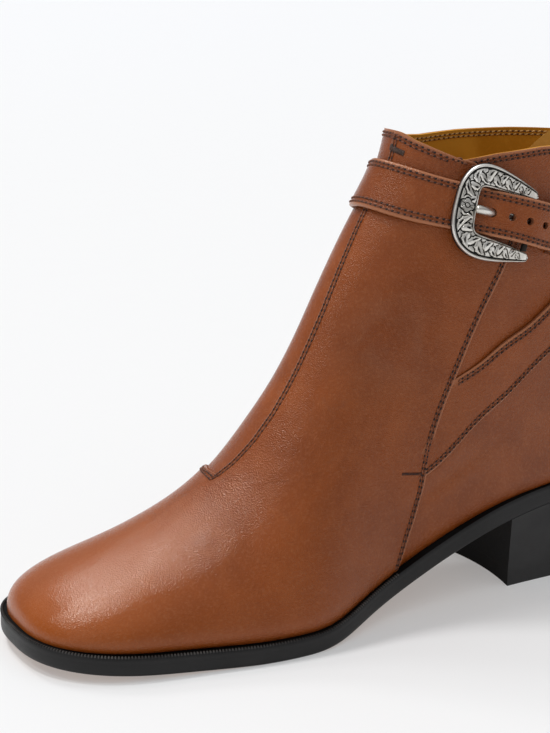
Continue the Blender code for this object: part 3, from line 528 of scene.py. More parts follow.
# the lining's needle holes likewise: painted shade
liningHoleShade = threadFinish("liningHoleShade", colour(112, 70, 26), colour(84, 50, 18))
tickThread = threadFinish("tickThread", colour(84, 44, 24), colour(50, 25, 14))
tackThread = threadFinish("tackThread", colour(98, 78, 68), colour(62, 47, 40))
engravedSilver = silverFinish("engravedSilver", True)
plainSilver = silverFinish("plainSilver", False)
print("finishes made")

# upper: panels, quarters and lining on the same surface as the part
upperLook = {
    "levels": 150, "panelColumns": 130, "quarterColumns": 120,
    "edgeSteps": ((0.0, 0.45), (0.3, 0.9), (0.75, 1.0)),     # distance from an edge, share of the step
    # front seam: height, distance out from the centre line
    "seamAside": ((59.5, 0.4), (64, 2.8), (72, 5.2), (82, 6.4), (120, 5.0), (155, 1.4), (180, 2.4)),
    "stitchSink": 0.16, "stitchBand": 2.0, "sinkReach": 1.3, "mid": 0.8, "highlightWidth": 0.8,
    "stripHalf": 5, "stripRows": 34, "liningGap": 0.05, "stripThick": 0.7,
}
# troughs: place on the last, direction along the trough, half length, half width, depth
creases = (
    ((176, 26, 52), (0.35, 0.55, -0.75), 26, 6.0, 0.55),
    ((163, 30, 62), (0.30, 0.55, -0.75), 24, 5.0, 0.40),
    ((122, 28, 100), (0.75, 0.10, 0.55), 26, 7.0, 0.60),
    ((112, 30, 122), (0.80, 0.15, 0.45), 22, 6.0, 0.40),
    ((104, 29, 70), (0.20, 0.05, 1.00), 18, 5.0, 0.35),
    ((100, 30, 48), (0.80, 0.10, -0.45), 16, 3.0, 0.40),
    ((88, 30, 56), (0.85, 0.05, -0.40), 15, 3.0, 0.40),
    ((120, -26, 100), (0.85, -0.10, 0.35), 28, 4.0, 0.50),
    ((114, -27, 112), (0.90, -0.10, 0.25), 24, 4.0, 0.45),
    ((124, -26, 86), (0.85, -0.10, 0.40), 24, 4.0, 0.45),
    ((60, -31, 84), (0.95, 0.0, 0.20), 24, 5.0, 0.35),
)


def creaseDepth(points):
    depth = np.zeros(points.shape[:-1])
    for spot, way, half, wide, deep in creases:
        way = np.array(way) / np.linalg.norm(way)
        off = points - np.array(spot, float)
        run = off @ way
        side = np.linalg.norm(off - run[..., None] * way, axis=-1)
        depth += deep * np.exp(-(run / half) ** 2 * 1.6) * (np.exp(-(side / wide) ** 2)
                                                           - 0.5 * np.exp(-((side - 2 * wide) / wide) ** 2))
    return depth


def edgeShares(size, columns):
    near = [d for d, _ in upperLook["edgeSteps"]]
    middle = np.linspace(2.0, size - 2.0, columns - 2 * len(near))
    return np.concatenate([near, middle, size - np.array(near[::-1])]) / size


def upperGrids():
    shares = np.linspace(0, 1, upperLook["levels"]) ** 1.15
    panels, quarters, panelAway = [], [], []
    for t in shares:
        panel, rest = loopRuns(t)
        size = runLength(panel)
        part = edgeShares(size, upperLook["panelColumns"])
        panels.append(along(panel, part))
        panelAway.append(np.minimum(part, 1 - part) * size)
        quarters.append(along(rest, np.linspace(0, 1, upperLook["quarterColumns"])))
    return np.array(panels), np.array(quarters), np.array(panelAway)


def ringNormals(panels, quarters):
    ring = np.concatenate([panels, quarters[:, 1:-1]], 1)
    ahead, behind = np.roll(ring, -1, 1), np.roll(ring, 1, 1)
    normal = np.cross(np.gradient(ring, axis=0), ahead - behind)
    normal /= np.linalg.norm(normal, axis=2, keepdims=True) + 1e-12
    if np.sum(normal * (ring - ring.mean(1, keepdims=True))) < 0:
        normal = -normal
    first = normal[:, :panels.shape[1]]
    other = np.concatenate([first[:, -1:], normal[:, panels.shape[1]:], first[:, :1]], 1)
    return first, other


def aboveFeather(points):
    points[..., 2] = np.maximum(points[..., 2], feather(points[..., 0]))
    return points


panelGrid, quarterGrid, panelAway = upperGrids()
panelNormal, quarterNormal = ringNormals(panelGrid, quarterGrid)
edgeRise = np.interp(panelAway, *zip(*upperLook["edgeSteps"]))
fromStitch = (panelAway - upperLook["stitchBand"]) / upperLook["sinkReach"]
stitchDip = upperLook["stitchSink"] * np.exp(-fromStitch ** 2)
panelLift = lastSize["panelStep"] * edgeRise - stitchDip - creaseDepth(panelGrid)
quarterLift = -creaseDepth(quarterGrid)
panelOuter = aboveFeather(panelGrid + panelNormal * panelLift[..., None])
quarterOuter = aboveFeather(quarterGrid + quarterNormal * quarterLift[..., None])
panelInner = aboveFeather(panelGrid - panelNormal * upperLook["mid"])
quarterInner = aboveFeather(quarterGrid - quarterNormal * upperLook["mid"])
rimLeathers = [edgeLeather, collarEdge]
vampPanel = shellSolid("vampPanel", panelOuter, panelInner, [panelLeather] + rimLeathers)
quarterPanel = shellSolid("quarterPanel", quarterOuter, quarterInner, [quarterLeather] + rimLeathers)
panelTop = np.linalg.norm(panelGrid - panelGrid[-1:], axis=2)
quarterTop = np.linalg.norm(quarterGrid - quarterGrid[-1:], axis=2)
# the painted edge highlight falls off over this width
highlightSpread = upperLook["highlightWidth"]
markEdgeHighlight(vampPanel, np.tile(np.exp(-(np.minimum(panelAway, panelTop) / highlightSpread) ** 2).reshape(-1), 2))
markEdgeHighlight(quarterPanel, np.tile(np.exp(-(quarterTop / highlightSpread) ** 2).reshape(-1), 2))
adopt(vampPanel, "upper_leather", "upper")
adopt(quarterPanel, "upper_leather")

liningRows = np.append(np.arange(0, upperLook["levels"] - 1, 3), upperLook["levels"] - 1)
ringGrid = np.concatenate([panelGrid[:, ::2], quarterGrid[:, 2:-2:2]], 1)[liningRows]
ringNormal = np.concatenate([panelNormal[:, ::2], quarterNormal[:, 2:-2:2]], 1)[liningRows]
liningOuter = aboveFeather(ringGrid - ringNormal * (upperLook["mid"] + upperLook["liningGap"]))
liningInner = aboveFeather(ringGrid - ringNormal * lastSize["wall"])
lining = shellSolid("lining", liningOuter, liningInner, [liningLeather, liningLeather], loop=True)
adopt(lining, "lining_leather")
backColumn = int(np.argmin(ringGrid[-1, :, 0]))
stripColumns = np.arange(backColumn - upperLook["stripHalf"], backColumn + upperLook["stripHalf"] + 1)
stripGrid = liningInner[-upperLook["stripRows"]:, stripColumns]
stripNormal = ringNormal[-upperLook["stripRows"]:, stripColumns]
backStrip = shellSolid("backStrip", stripGrid - stripNormal * upperLook["liningGap"],
                       stripGrid - stripNormal * upperLook["stripThick"], [backStripLeather, backStripLeather])
adopt(backStrip, "lining_leather")
print("upper made")


# sole: welt, outsole, insole, heel and top lift
soleLook = {"welt": 2.6, "weltReach": 5.0, "insoleInset": 5.6, "insoleThick": 4.4, "boardRound": 0.5,
            "gap": 0.3, "joint": 0.02, "points": 280, "boardPoints": 160, "breast": 60.0, "breastHollow": 3.5,
            "weltTopRing": 3, "liftThick": 6.0, "heelTaper": 2.0, "heelLean": 4.0, "heelTop": (0.4, 0.4),
            "ribFrom": 116.0}
featherLoop = levelLoop(0.0, 900)


def planLoop(grow, count=None, onLedge=True):
    # outline of the sole from above, grown from the welt's ledge or from the upper's feather line
    count = count or soleLook["points"]
    lateral, medial = featherLoop
    half = np.linspace(0, 1, count // 2 + 1)
    loop = np.concatenate([along(lateral, half), along(medial[::-1], half)[1:-1]])[:, :2]
    way = np.roll(loop, -1, 0) - np.roll(loop, 1, 0)
    normal = np.stack([way[:, 1], -way[:, 0]], 1)
    normal /= np.linalg.norm(normal, axis=1, keepdims=True)
    reach = ledge.at("reach", loop[:, 0] / length) + grow if onLedge else np.full(count, float(grow))
    return loop + normal * reach[:, None]


def plateSolid(name, loops, heights, materials, across=10):
    # closed plate: stacked loops for the side wall, top and bottom filled from side to side
    count = len(loops[0])
    half = count // 2
    rings = [np.concatenate([loop, z(loop[:, 0])[:, None]], 1) for loop, z in zip(loops, heights)]
    points = [np.concatenate(rings)]
    faces = gridFaces(len(rings), count, 0, True)
    kinds = [0] * len(faces)
    total = len(rings) * count
    ends = ((rings[0], heights[0], 0, False), (rings[-1], heights[-1], (len(rings) - 1) * count, True))
    for ring, z, base, flip in ends:
        index, extra = {}, []
        for i in range(half + 1):
            mate = (count - i) % count
            for j in range(across + 1):
                if i in (0, half) or j == 0:
                    index[i, j] = base + i
                elif j == across:
                    index[i, j] = base + mate
                else:
                    spot = ring[i] + (ring[mate] - ring[i]) * j / across
                    spot[2] = z(spot[:1])[0]
                    index[i, j] = total
                    extra.append(spot)
                    total += 1
        points.append(np.array(extra))
        for i in range(half):
            for j in range(across):
                face = [index[i, j], index[i, j + 1], index[i + 1, j + 1], index[i + 1, j]]
                face = [v for k, v in enumerate(face) if v != face[k - 1]]
                faces.append(tuple(face[::-1] if flip else face))
                kinds.append(0 if flip or len(materials) == 1 else 1)
    return makePiece(name, np.concatenate(points), faces, materials, kinds, 0.9)


def above(base, rise):
    return lambda x: base(x) + rise


gap, weltThick = soleLook["gap"], soleLook["welt"]
weltTop = above(feather, -gap)
weltLow = above(feather, -gap - weltThick)
outTop = above(weltLow, -soleLook["joint"])
profile = ((-0.7, 0.0), (-0.25, 0.25), (0.0, 0.7), (0.1, 1.8))
loops = [planLoop(g) for g, _ in profile] + [planLoop(0.03), planLoop(0.0)]
heights = [above(soleUnder, h) for _, h in profile] + [above(outTop, -0.5), outTop]
outsole = plateSolid("outsolePlate", loops, heights, [soleEdge, treadLeather])
adopt(outsole, "sole_black", "outsole")
weltEdge, weltInside = planLoop(0.0), planLoop(-soleLook["weltReach"], onLedge=False)
weltSides = ((weltEdge, weltLow), (weltEdge, above(weltLow, 0.8)), (weltEdge, above(weltTop, -0.4)),
             (planLoop(-0.3), weltTop), (weltInside, weltTop), (weltInside, weltLow))
weltRings = [np.concatenate([loop, z(loop[:, 0])[:, None]], 1) for loop, z in weltSides]
weltPoints = np.stack(weltRings, 1)
ringCount = weltPoints.shape[1]
weltFaces = []
for r in range(len(weltPoints)):
    q = (r + 1) % len(weltPoints)
    for c in range(ringCount):
        d = (c + 1) % ringCount
        weltFaces.append((r * ringCount + c, r * ringCount + d, q * ringCount + d, q * ringCount + c))
# the welt's top ring takes the near-black material: partly its dark grooved surface, partly painted shadow
# under the upper
weltKinds = [1 if c == soleLook["weltTopRing"] else 0 for c in range(ringCount)] * len(weltPoints)
weltStrip = makePiece("weltStrip", weltPoints.reshape(-1, 3), weltFaces, [soleEdge, shadowBlack], weltKinds,
                      0.9)
adopt(weltStrip, "sole_black", "welt")
boardInset, boardThick, boardRound = (soleLook[k] for k in ("insoleInset", "insoleThick", "boardRound"))
boardInsets = (boardInset, boardInset + boardRound)
board, boardUpper = (planLoop(-inset, soleLook["boardPoints"], False) for inset in boardInsets)
boardLoops = [board, board, boardUpper]
boardHeights = [weltLow, above(weltLow, boardThick - boardRound), above(weltLow, boardThick)]
insole = plateSolid("insoleBoard", boardLoops, boardHeights, [insoleLeather])
adopt(insole, "lining_leather", "insole")


def heelSolid(name, low, high, lowWay, highWay, material, stations=26, across=12, rows=2):
    edge = planLoop(0.0, 480)
    half = 240
    lateral, medial = edge[:half + 1][::-1], np.concatenate([edge[half:], edge[:1]])
    rear = edge[half, 0]
    grids = []
    for row in np.linspace(0, 1, rows):
        inset = lowWay[0] + (highWay[0] - lowWay[0]) * row
        lean = lowWay[1] + (highWay[1] - lowWay[1]) * row
        grid = []
        for f in np.sin(np.linspace(0, np.pi / 2, stations)):
            x = soleLook["breast"] + (rear - soleLook["breast"]) * f
            yOut = np.interp(x, lateral[:, 0], lateral[:, 1])
            yIn = np.interp(x, medial[:, 0], medial[:, 1])
            for c in np.linspace(-1, 1, across + 1):
                hollow = soleLook["breastHollow"] * (1 - c * c) * (1 - f)
                squeeze = max(1 - inset / (yOut - yIn + 1e-6) * 2, 0) if f < 1 else 0
                spotX = x - hollow + lean * f
                top = high(np.array([spotX]))[0] if callable(high) else high
                spotY = (yOut + yIn) / 2 + c * (yOut - yIn) / 2 * squeeze
                grid.append((spotX, spotY, low + (top - low) * row))
        grids.append(np.array(grid).reshape(stations, across + 1, 3))
    points, faces = [], []
    index = np.zeros((rows, stations, across + 1), int)
    for g, grid in enumerate(grids):
        for i in range(stations):
            for j in range(across + 1):
                if i == stations - 1 and j > 0:
                    index[g, i, j] = index[g, i, 0]
                    continue
                index[g, i, j] = len(points)
                points.append(grid[i, j] if i < stations - 1 else grid[i, across // 2])

    def add(*corners):
        faces.append(tuple(v for k, v in enumerate(corners) if v != corners[k - 1]))

    top = rows - 1
    for i in range(stations - 1):
        for j in range(across):
            add(index[0, i, j], index[0, i, j + 1], index[0, i + 1, j + 1], index[0, i + 1, j])
            add(index[top, i, j], index[top, i + 1, j], index[top, i + 1, j + 1], index[top, i, j + 1])
        for g in range(top):
            for j, flip in ((0, False), (across, True)):
                wall = [index[g, i, j], index[g, i + 1, j], index[g + 1, i + 1, j], index[g + 1, i, j]]
                add(*(wall[::-1] if flip else wall))
    sides = len(faces)
    for g in range(top):
        for j in range(across):
            add(index[g, 0, j + 1], index[g, 0, j], index[g + 1, 0, j], index[g + 1, 0, j + 1])
    # breast faces take the near-black material: painted shadow under the arch
    kinds = [0] * sides + [1] * (len(faces) - sides)
    return makePiece(name, np.array(points), faces, [material, shadowBlack], kinds, 0.6)


taper = (soleLook["heelTaper"], soleLook["heelLean"])
joint = soleLook["liftThick"] + gap / 2
heelBlock = heelSolid("heelStack", joint, above(soleUnder, -soleLook["joint"]), taper, soleLook["heelTop"],
                      heelEdge, rows=6)
adopt(heelBlock, "sole_black", "heel_block")
topLift = heelSolid("heelLift", 0.0, joint - soleLook["joint"], taper, taper, heelEdge)
adopt(topLift, "heel_rubber", "top_lift")
print("sole made")

# strap, buckle strap and buckle
strap = Table("angle lean low high thick",
              (30, 13, 50.5, 91.5, 0.7), (36, 12, 54.5, 94.5, 0.7), (48, 5, 70.5, 98.8, 1.0),
              (62, 0, 80.8, 104.8, 1.4), (84, 0, 91.5, 111.8, 1.8), (104, 0, 99.5, 119.6, 1.8),
              (140, 0, 111.5, 130.5, 1.8),
              (180, 0, 121.0, 139.5, 1.8), (225, 0, 127.5, 146.0, 1.8), (270, 0, 133.5, 152.0, 1.8),
              (310, 0, 143.5, 162.0, 1.9), (340, 0, 152.5, 171.0, 2.0), (360, 0, 156.5, 174.5, 2.0),
              (380, 0, 154.1, 171.5, 2.0), (405, 0, 149.4, 166.0, 2.0), (430, 0, 145.1, 161.7, 2.0),
              (450, 0, 141.5, 158.5, 2.0), (500, 0, 134.0, 151.0, 2.0))
strapLift = Table("past lift",
                  (-86, 0.5), (-77, 0.5), (-68, 1.6), (-40, 1.6), (-26, 1.6), (-22.5, 1.75), (-19, 3.1),
                  (-13, 5.1), (-6, 6.0), (0, 6.5), (6, 5.8), (12, 4.8), (20, 4.65), (40, 4.65))
frameEdge = Table("order outerPast outerHalf innerPast innerHalf",
                  (0, 2.4, 13.4, 2.4, 10.5), (1, -6.0, 15.6, -6.0, 9.9), (2, -15.0, 17.4, -15.0, 9.2),
                  (3, -23.6, 17.4, -21.8, 8.8), (4, -29.6, 13.6, -24.2, 7.2), (5, -32.5, 7.2, -24.6, 3.6),
                  (6, -33.0, 0.0, -24.6, 0.0))
frameLift = Table("past lift", (-33.0, 4.3), (-22, 4.2), (-10, 2.5), (2.4, 1.7))
prongRun = Table("past lift",
                 (-25.8, 8.2), (-24.2, 8.0), (-22.0, 7.1), (-19.0, 5.3), (-16.0, 3.4), (-13.0, 2.95),
                 (-8.0, 2.95), (-0.3, 3.3))
strapLook = {"barAngle": 439.0, "start": 33.0, "end": 27.0, "tipLength": 9.0, "tipBlunt": 0.35, "half": 8.3,
             "squareFrom": -80.0, "squareTo": -60.0, "prongHole": -18.2, "holePitch": 7.4, "holeRadius": 1.45,
             "holes": 4, "stations": 300}
buckleLook = {"thick": 2.6, "lean": 0.7, "tilt": 0.08, "level": -21.0, "stations": 460, "prongRadius": 1.55}


def shellPoint(angle, z, lift=0.0):
    angle, z, lift = np.broadcast_arrays(*(np.asarray(v, float) for v in (angle, z, lift)))
    centre = lastSize["shaftCentre"]

    def onShell(a, h):
        turn = np.radians(a)
        near, far = np.zeros(a.shape), np.full(a.shape, 0.7 * length)
        for _ in range(26):
            reach = (near + far) / 2
            x, y = centre + reach * np.cos(turn), reach * np.sin(turn)
            off = y - swing(x)
            wide = np.where(off >= 0, halfWidth(x, h, "lateral"), halfWidth(x, h, "medial"))
            inside = (np.abs(off) < wide) | ((np.abs(off) < 1e-6) & (wide > 0))
            near, far = np.where(inside, reach, near), np.where(inside, far, reach)
        return np.stack([centre + near * np.cos(turn), near * np.sin(turn), h], -1)

    point = onShell(angle, z)
    tick = 1.5    # degrees round and millimetres up, for the way out of the shell
    acrossWay = onShell(angle + tick, z) - onShell(angle - tick, z)
    upWay = onShell(angle, z + tick) - onShell(angle, z - tick)
    normal = np.cross(acrossWay, upWay)
    normal /= np.linalg.norm(normal, axis=-1, keepdims=True)
    return point + normal * lift[..., None]


def strapScale():
    angle = np.linspace(strap.rows[0, 0], strap.rows[-1, 0], 500)
    middle = shellPoint(angle, (strap.at("low", angle) + strap.at("high", angle)) / 2, 2.0)
    size = np.concatenate([[0], np.cumsum(np.linalg.norm(np.diff(middle, axis=0), axis=1))])
    return angle, size - np.interp(strapLook["barAngle"], angle, size)


scaleAngle, scalePast = strapScale()


def angleAt(past):
    return np.interp(past, scalePast, scaleAngle)


def strapMiddle(past):
    angle = angleAt(past)
    return (strap.at("low", angle) + strap.at("high", angle)) / 2


def strapLean(past, across):
    rise = (strapMiddle(past + 1) - strapMiddle(past - 1)) / 2
    size = np.hypot(1, rise)
    return past - across * rise / size, strapMiddle(past) + across / size


def strapPoint(past, across, lift):
    place, z = strapLean(past, across)
    return shellPoint(angleAt(place), z, lift)


def framePoint(past, across, lift):
    hang = buckleLook["tilt"] * (past - buckleLook["level"])
    place, z = strapLean(past, across - hang)
    return shellPoint(angleAt(past + buckleLook["lean"] * (place - past)), z, lift)


def sweptSolid(name, rings, materials, kinds=None, sharp=0.7):
    count, sides = rings.shape[:2]
    faces = gridFaces(count, sides, 0, True)
    faces.append(tuple(range(sides))[::-1])
    faces.append(tuple((count - 1) * sides + k for k in range(sides)))
    return makePiece(name, rings.reshape(-1, 3), faces, materials, kinds, sharp)


def strapBand():
    # cross profile: share across, share of the thickness, inset from the edge
    profile = [(-1, 0.0, 0.1), (-0.5, 0.0, 0), (0, 0.0, 0), (0.5, 0.0, 0), (1, 0.0, 0.1), (1, 0.3, 0),
               (1, 0.65, 0.05), (1, 0.88, 0.22), (1, 1.0, 0.6)]
    profile += [(s, 1.0, 0) for s in (0.8, 0.66, 0.5, 0.25, 0, -0.25, -0.5, -0.66, -0.8)]
    profile += [(-1, 1.0, 0.6), (-1, 0.88, 0.22), (-1, 0.65, 0.05), (-1, 0.3, 0)]
    end = angleAt(strapLook["end"])
    stations = strapLook["stations"]
    angle = np.linspace(strapLook["start"], end, stations)
    past = np.interp(angle, scaleAngle, scalePast)
    low, high, lean, thick = (strap.at(n, angle) for n in ("low", "high", "lean", "thick"))
    tip = np.sqrt(np.clip((strapLook["end"] - past) / strapLook["tipLength"], 0, 1))
    tip = strapLook["tipBlunt"] + (1 - strapLook["tipBlunt"]) * tip
    middle, half = (low + high) / 2, (high - low) / 2 * tip
    lift = strapLift.at("lift", past) - 0.25 * (1 - step(36, 60, angle))
    ring = []
    for share, part, inset in profile:
        across = share * half - np.sign(share) * inset * np.minimum(thick, 1.6)
        square = angleAt(strapLean(past, across)[0]) - angle
        turned = angle + lean / 2 * share + square * step(strapLook["squareFrom"], strapLook["squareTo"], past)
        sink = 0.14 * np.exp(-((half - np.abs(across) - 2.4) / 1.1) ** 2) if part == 1.0 else 0.0
        ring.append(shellPoint(turned, middle + across, lift + thick * part - sink))
    rings = np.stack(ring, 1)
    sides = len(profile)
    rim = [1 if k > 0 and abs(p[0]) == 1 and p[1] in (0.0, 0.3) else 0 for k, p in enumerate(profile)]
    kinds = [rim[c] for _ in range(stations - 1) for c in range(sides)] + [1, 1]
    band = sweptSolid("ankleBand", rings, [strapLeather, edgeLeather], kinds, 0.9)
    # the strap's edges get the same painted highlight
    near = [inset if abs(share) == 1 else (1 - abs(share)) * strapLook["half"] for share, _, inset in profile]
    markEdgeHighlight(band, np.tile(np.exp(-(np.array(near) / upperLook["highlightWidth"]) ** 2), stations))
    return band


def punchHoles(band):
    turn = np.linspace(0, 2 * np.pi, 20, endpoint=False)
    for number in range(strapLook["holes"] + 1):
        place = strapLook["prongHole"] + strapLook["holePitch"] * number
        radius = strapLook["holeRadius"] * (1.15 if number == 0 else 1.0)
        lift = float(strapLift.at("lift", place))
        around = place + radius * np.cos(turn), radius * np.sin(turn)
        rings = np.stack([strapPoint(*around, lift + h) for h in (-2.5, 4.5)])
        cutter = sweptSolid("punch%d" % number, rings, [edgeLeather])
        cut = band.modifiers.new("punch", "BOOLEAN")
        cut.operation, cut.object, cut.solver = "DIFFERENCE", cutter, "EXACT"
        depsgraph = bpy.context.evaluated_depsgraph_get()
        mesh = bpy.data.meshes.new_from_object(band.evaluated_get(depsgraph))
        band.modifiers.clear()
        band.data = mesh
        bpy.data.objects.remove(cutter, do_unlink=True)


ankleBand = strapBand()
punchHoles(ankleBand)
ankleBand.data.set_sharp_from_angle(angle=0.9)
adopt(ankleBand, "upper_leather", "ankle_strap")
print("strap made")


# buckle: horseshoe with a rim bead, a groove and leaf scrolls on a dark ground
def leafList(reach):
    # leaves along half of the band, later ones over earlier: place, share across, turn, length and width
    leaves = []
    for k in range(int((reach - 4.0) / 2.9)):
        side = 1 if k % 2 else -1
        leaves.append((3.4 + 2.9 * k, 0.30 * side, (50 + 16 * math.sin(3.1 * k)) * side,
                       5.4 + 0.8 * math.sin(1.7 * k), 3.1 + 0.4 * math.cos(2.3 * k)))
    return leaves


def scroll(u, v, wide, leaves):
    # height from 0 to 1 at a place along and across the band, in millimetres: cut lines round leaves
    height = np.full(u.shape, 0.8)
    small = np.clip(wide / 6.0, 0.45, 1.0)
    for place, share, turn, size, thick in leaves:
        a = math.radians(turn)
        du, dv = (u - place) / small, (v - share * wide / 2) / small
        run, side = du * math.cos(a) + dv * math.sin(a), -du * math.sin(a) + dv * math.cos(a)
        w = np.clip((run + size / 2) / size, 0, 1)
        bend = side - 0.7 * np.sin(w * math.pi) * math.copysign(1, turn)
        lobes = 1 - 0.3 * np.abs(np.sin(w * 3.4 * math.pi)) * (bend * turn > 0)
        room = thick / 2 * np.sqrt(np.clip(np.sin(w ** 0.65 * math.pi), 0, 1)) * lobes
        off = np.abs(bend)
        body = 1 - 0.3 * (off / np.maximum(room, 0.05)) ** 2
        vein = np.where((w > 0.3) & (w < 0.78), 0.32 * np.sin(math.pi * np.clip((w - 0.3) / 0.48, 0, 1)), 0)
        body = np.where(off < vein, 0.1, body)
        leaf = (off < room + 0.45) & (w > 0.01) & (w < 0.99)
        height = np.where(leaf, np.where(off < room, body, 0.0), height)
    radius, angle = np.hypot(u, v), np.arctan2(v, u)
    petal = 2.6 * (0.72 + 0.28 * np.abs(np.cos(2.5 * angle)))
    bloom = np.where(np.abs(np.sin(2.5 * angle)) * radius < 0.2, 0.1, 0.95) * (radius < petal)
    height = np.where(radius < petal + 0.45, bloom, height)
    return np.where(radius < 0.75, 1.0, np.where(radius < 1.0, 0.1, height))


def buckleFrame():
    stations = buckleLook["stations"]
    order = np.linspace(0, frameEdge.rows[-1, 0], stations // 2)
    names = ("outerPast", "outerHalf", "innerPast", "innerHalf")
    upper = np.stack([frameEdge.at(n, order) for n in names], 1)
    paths = np.concatenate([upper, upper[-2::-1] * np.array([1, -1, 1, -1])])
    middle = (paths[:, :2] + paths[:, 2:]) / 2
    size = np.concatenate([[0], np.cumsum(np.linalg.norm(np.diff(middle, axis=0), axis=1))])
    even = np.linspace(0, size[-1], stations)
    paths = np.stack([np.interp(even, size, paths[:, k]) for k in range(4)], 1)
    away = np.abs(even - size[-1] / 2)
    fromTip = size[-1] / 2 - away
    # cross profile, from inner to outer edge, with its height: thin inner rim, field, groove, outer bead
    rims = ((0.0, 0.66), (0.02, 0.82), (0.045, 0.88), (0.07, 0.82), (0.085, 0.66), (0.10, 0.62), (0.80, 0.62),
            (0.82, 0.60), (0.845, 0.58), (0.87, 0.84), (0.90, 1.0), (0.94, 1.0), (0.975, 0.88), (1.0, 0.6))
    places = [place for place, _ in rims]
    shares = np.concatenate([[0.0], places[:5], np.linspace(places[5], places[6], 34), places[7:], [1.0]])
    bead = np.interp(shares, *zip(*rims))
    bead[0] = bead[-1] = 0.0
    field = (shares > 0.095) & (shares < 0.805)
    wide = np.linalg.norm(paths[:, :2] - paths[:, 2:], axis=1)
    leaves = leafList(size[-1] / 2)
    u = np.repeat(away[:, None], len(shares), 1)
    v = (shares[None] - 0.45) * wide[:, None]
    relief = scroll(u, v, 0.7 * wide[:, None], leaves)
    edge = np.minimum(step(0.10, 0.125, shares), 1 - step(0.775, 0.80, shares))[None]
    relief = np.where(field[None], relief * edge, 0)
    lift = np.repeat(bead[None], stations, 0) + relief * 0.36
    mark = np.where(field[None], relief, np.interp(bead, [0.58, 0.7, 0.82], [0.0, 0.35, 1.0])[None])
    pinch = np.sqrt(np.clip(1 - (1 - np.clip(fromTip / 3.2, 0, 1)) ** 2, 0.02, 1))
    outer, inner = paths[:, :2], paths[:, 2:]
    centre = (outer + inner) / 2
    outer, inner = centre + (outer - centre) * pinch[:, None], centre + (inner - centre) * pinch[:, None]
    flat = inner[:, None] + (outer - inner)[:, None] * shares[None, :, None]
    past, half = flat[..., 0], flat[..., 1]
    rise = frameLift.at("lift", past) + buckleLook["thick"] * lift * np.maximum(pinch, 0.5)[:, None]
    rings = framePoint(past, half, rise)
    piece = sweptSolid("buckleHorseshoe", rings, [engravedSilver], None, 1.2)
    tone = piece.data.attributes.new("relief", "FLOAT", "POINT")
    tone.data.foreach_set("value", mark.reshape(-1).astype(np.float32))
    return piece


buckleHorseshoe = buckleFrame()
adopt(buckleHorseshoe, "buckle_metal", "buckle_frame")


def prongRod():
    turn = np.linspace(0, 2 * np.pi, 20, endpoint=False)
    start, end = prongRun.rows[0, 0], prongRun.rows[-1, 0]
    rings = []
    nearTip = start + np.array([0, 0.1, 0.3, 0.6, 1.0])
    for past in np.concatenate([nearTip, np.linspace(start + 1.6, end, 40)]):
        slim = math.sqrt(1 - (1 - min((past - start + 0.02) / 1.1, 1)) ** 2)
        radius = buckleLook["prongRadius"] * max(slim, 0.12)
        lift = float(prongRun.at("lift", past)) + 0.15
        rings.append(strapPoint(np.full(20, past), radius * np.cos(turn), lift + radius * np.sin(turn)))
    return sweptSolid("prongRod", np.array(rings), [plainSilver], None, 1.0)


prong = prongRod()
adopt(prong, "buckle_metal", "buckle_prong")
# the buckle bar gets the dark steel, painted shade where it lies in shadow behind the strap
for node, finish in (("buckle_bar", shadowSteel), ("keeper", plainSilver), ("buckle_strap", strapLeather)):
    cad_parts[node].data.materials.clear()
    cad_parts[node].data.materials.append(finish)
print("buckle made")


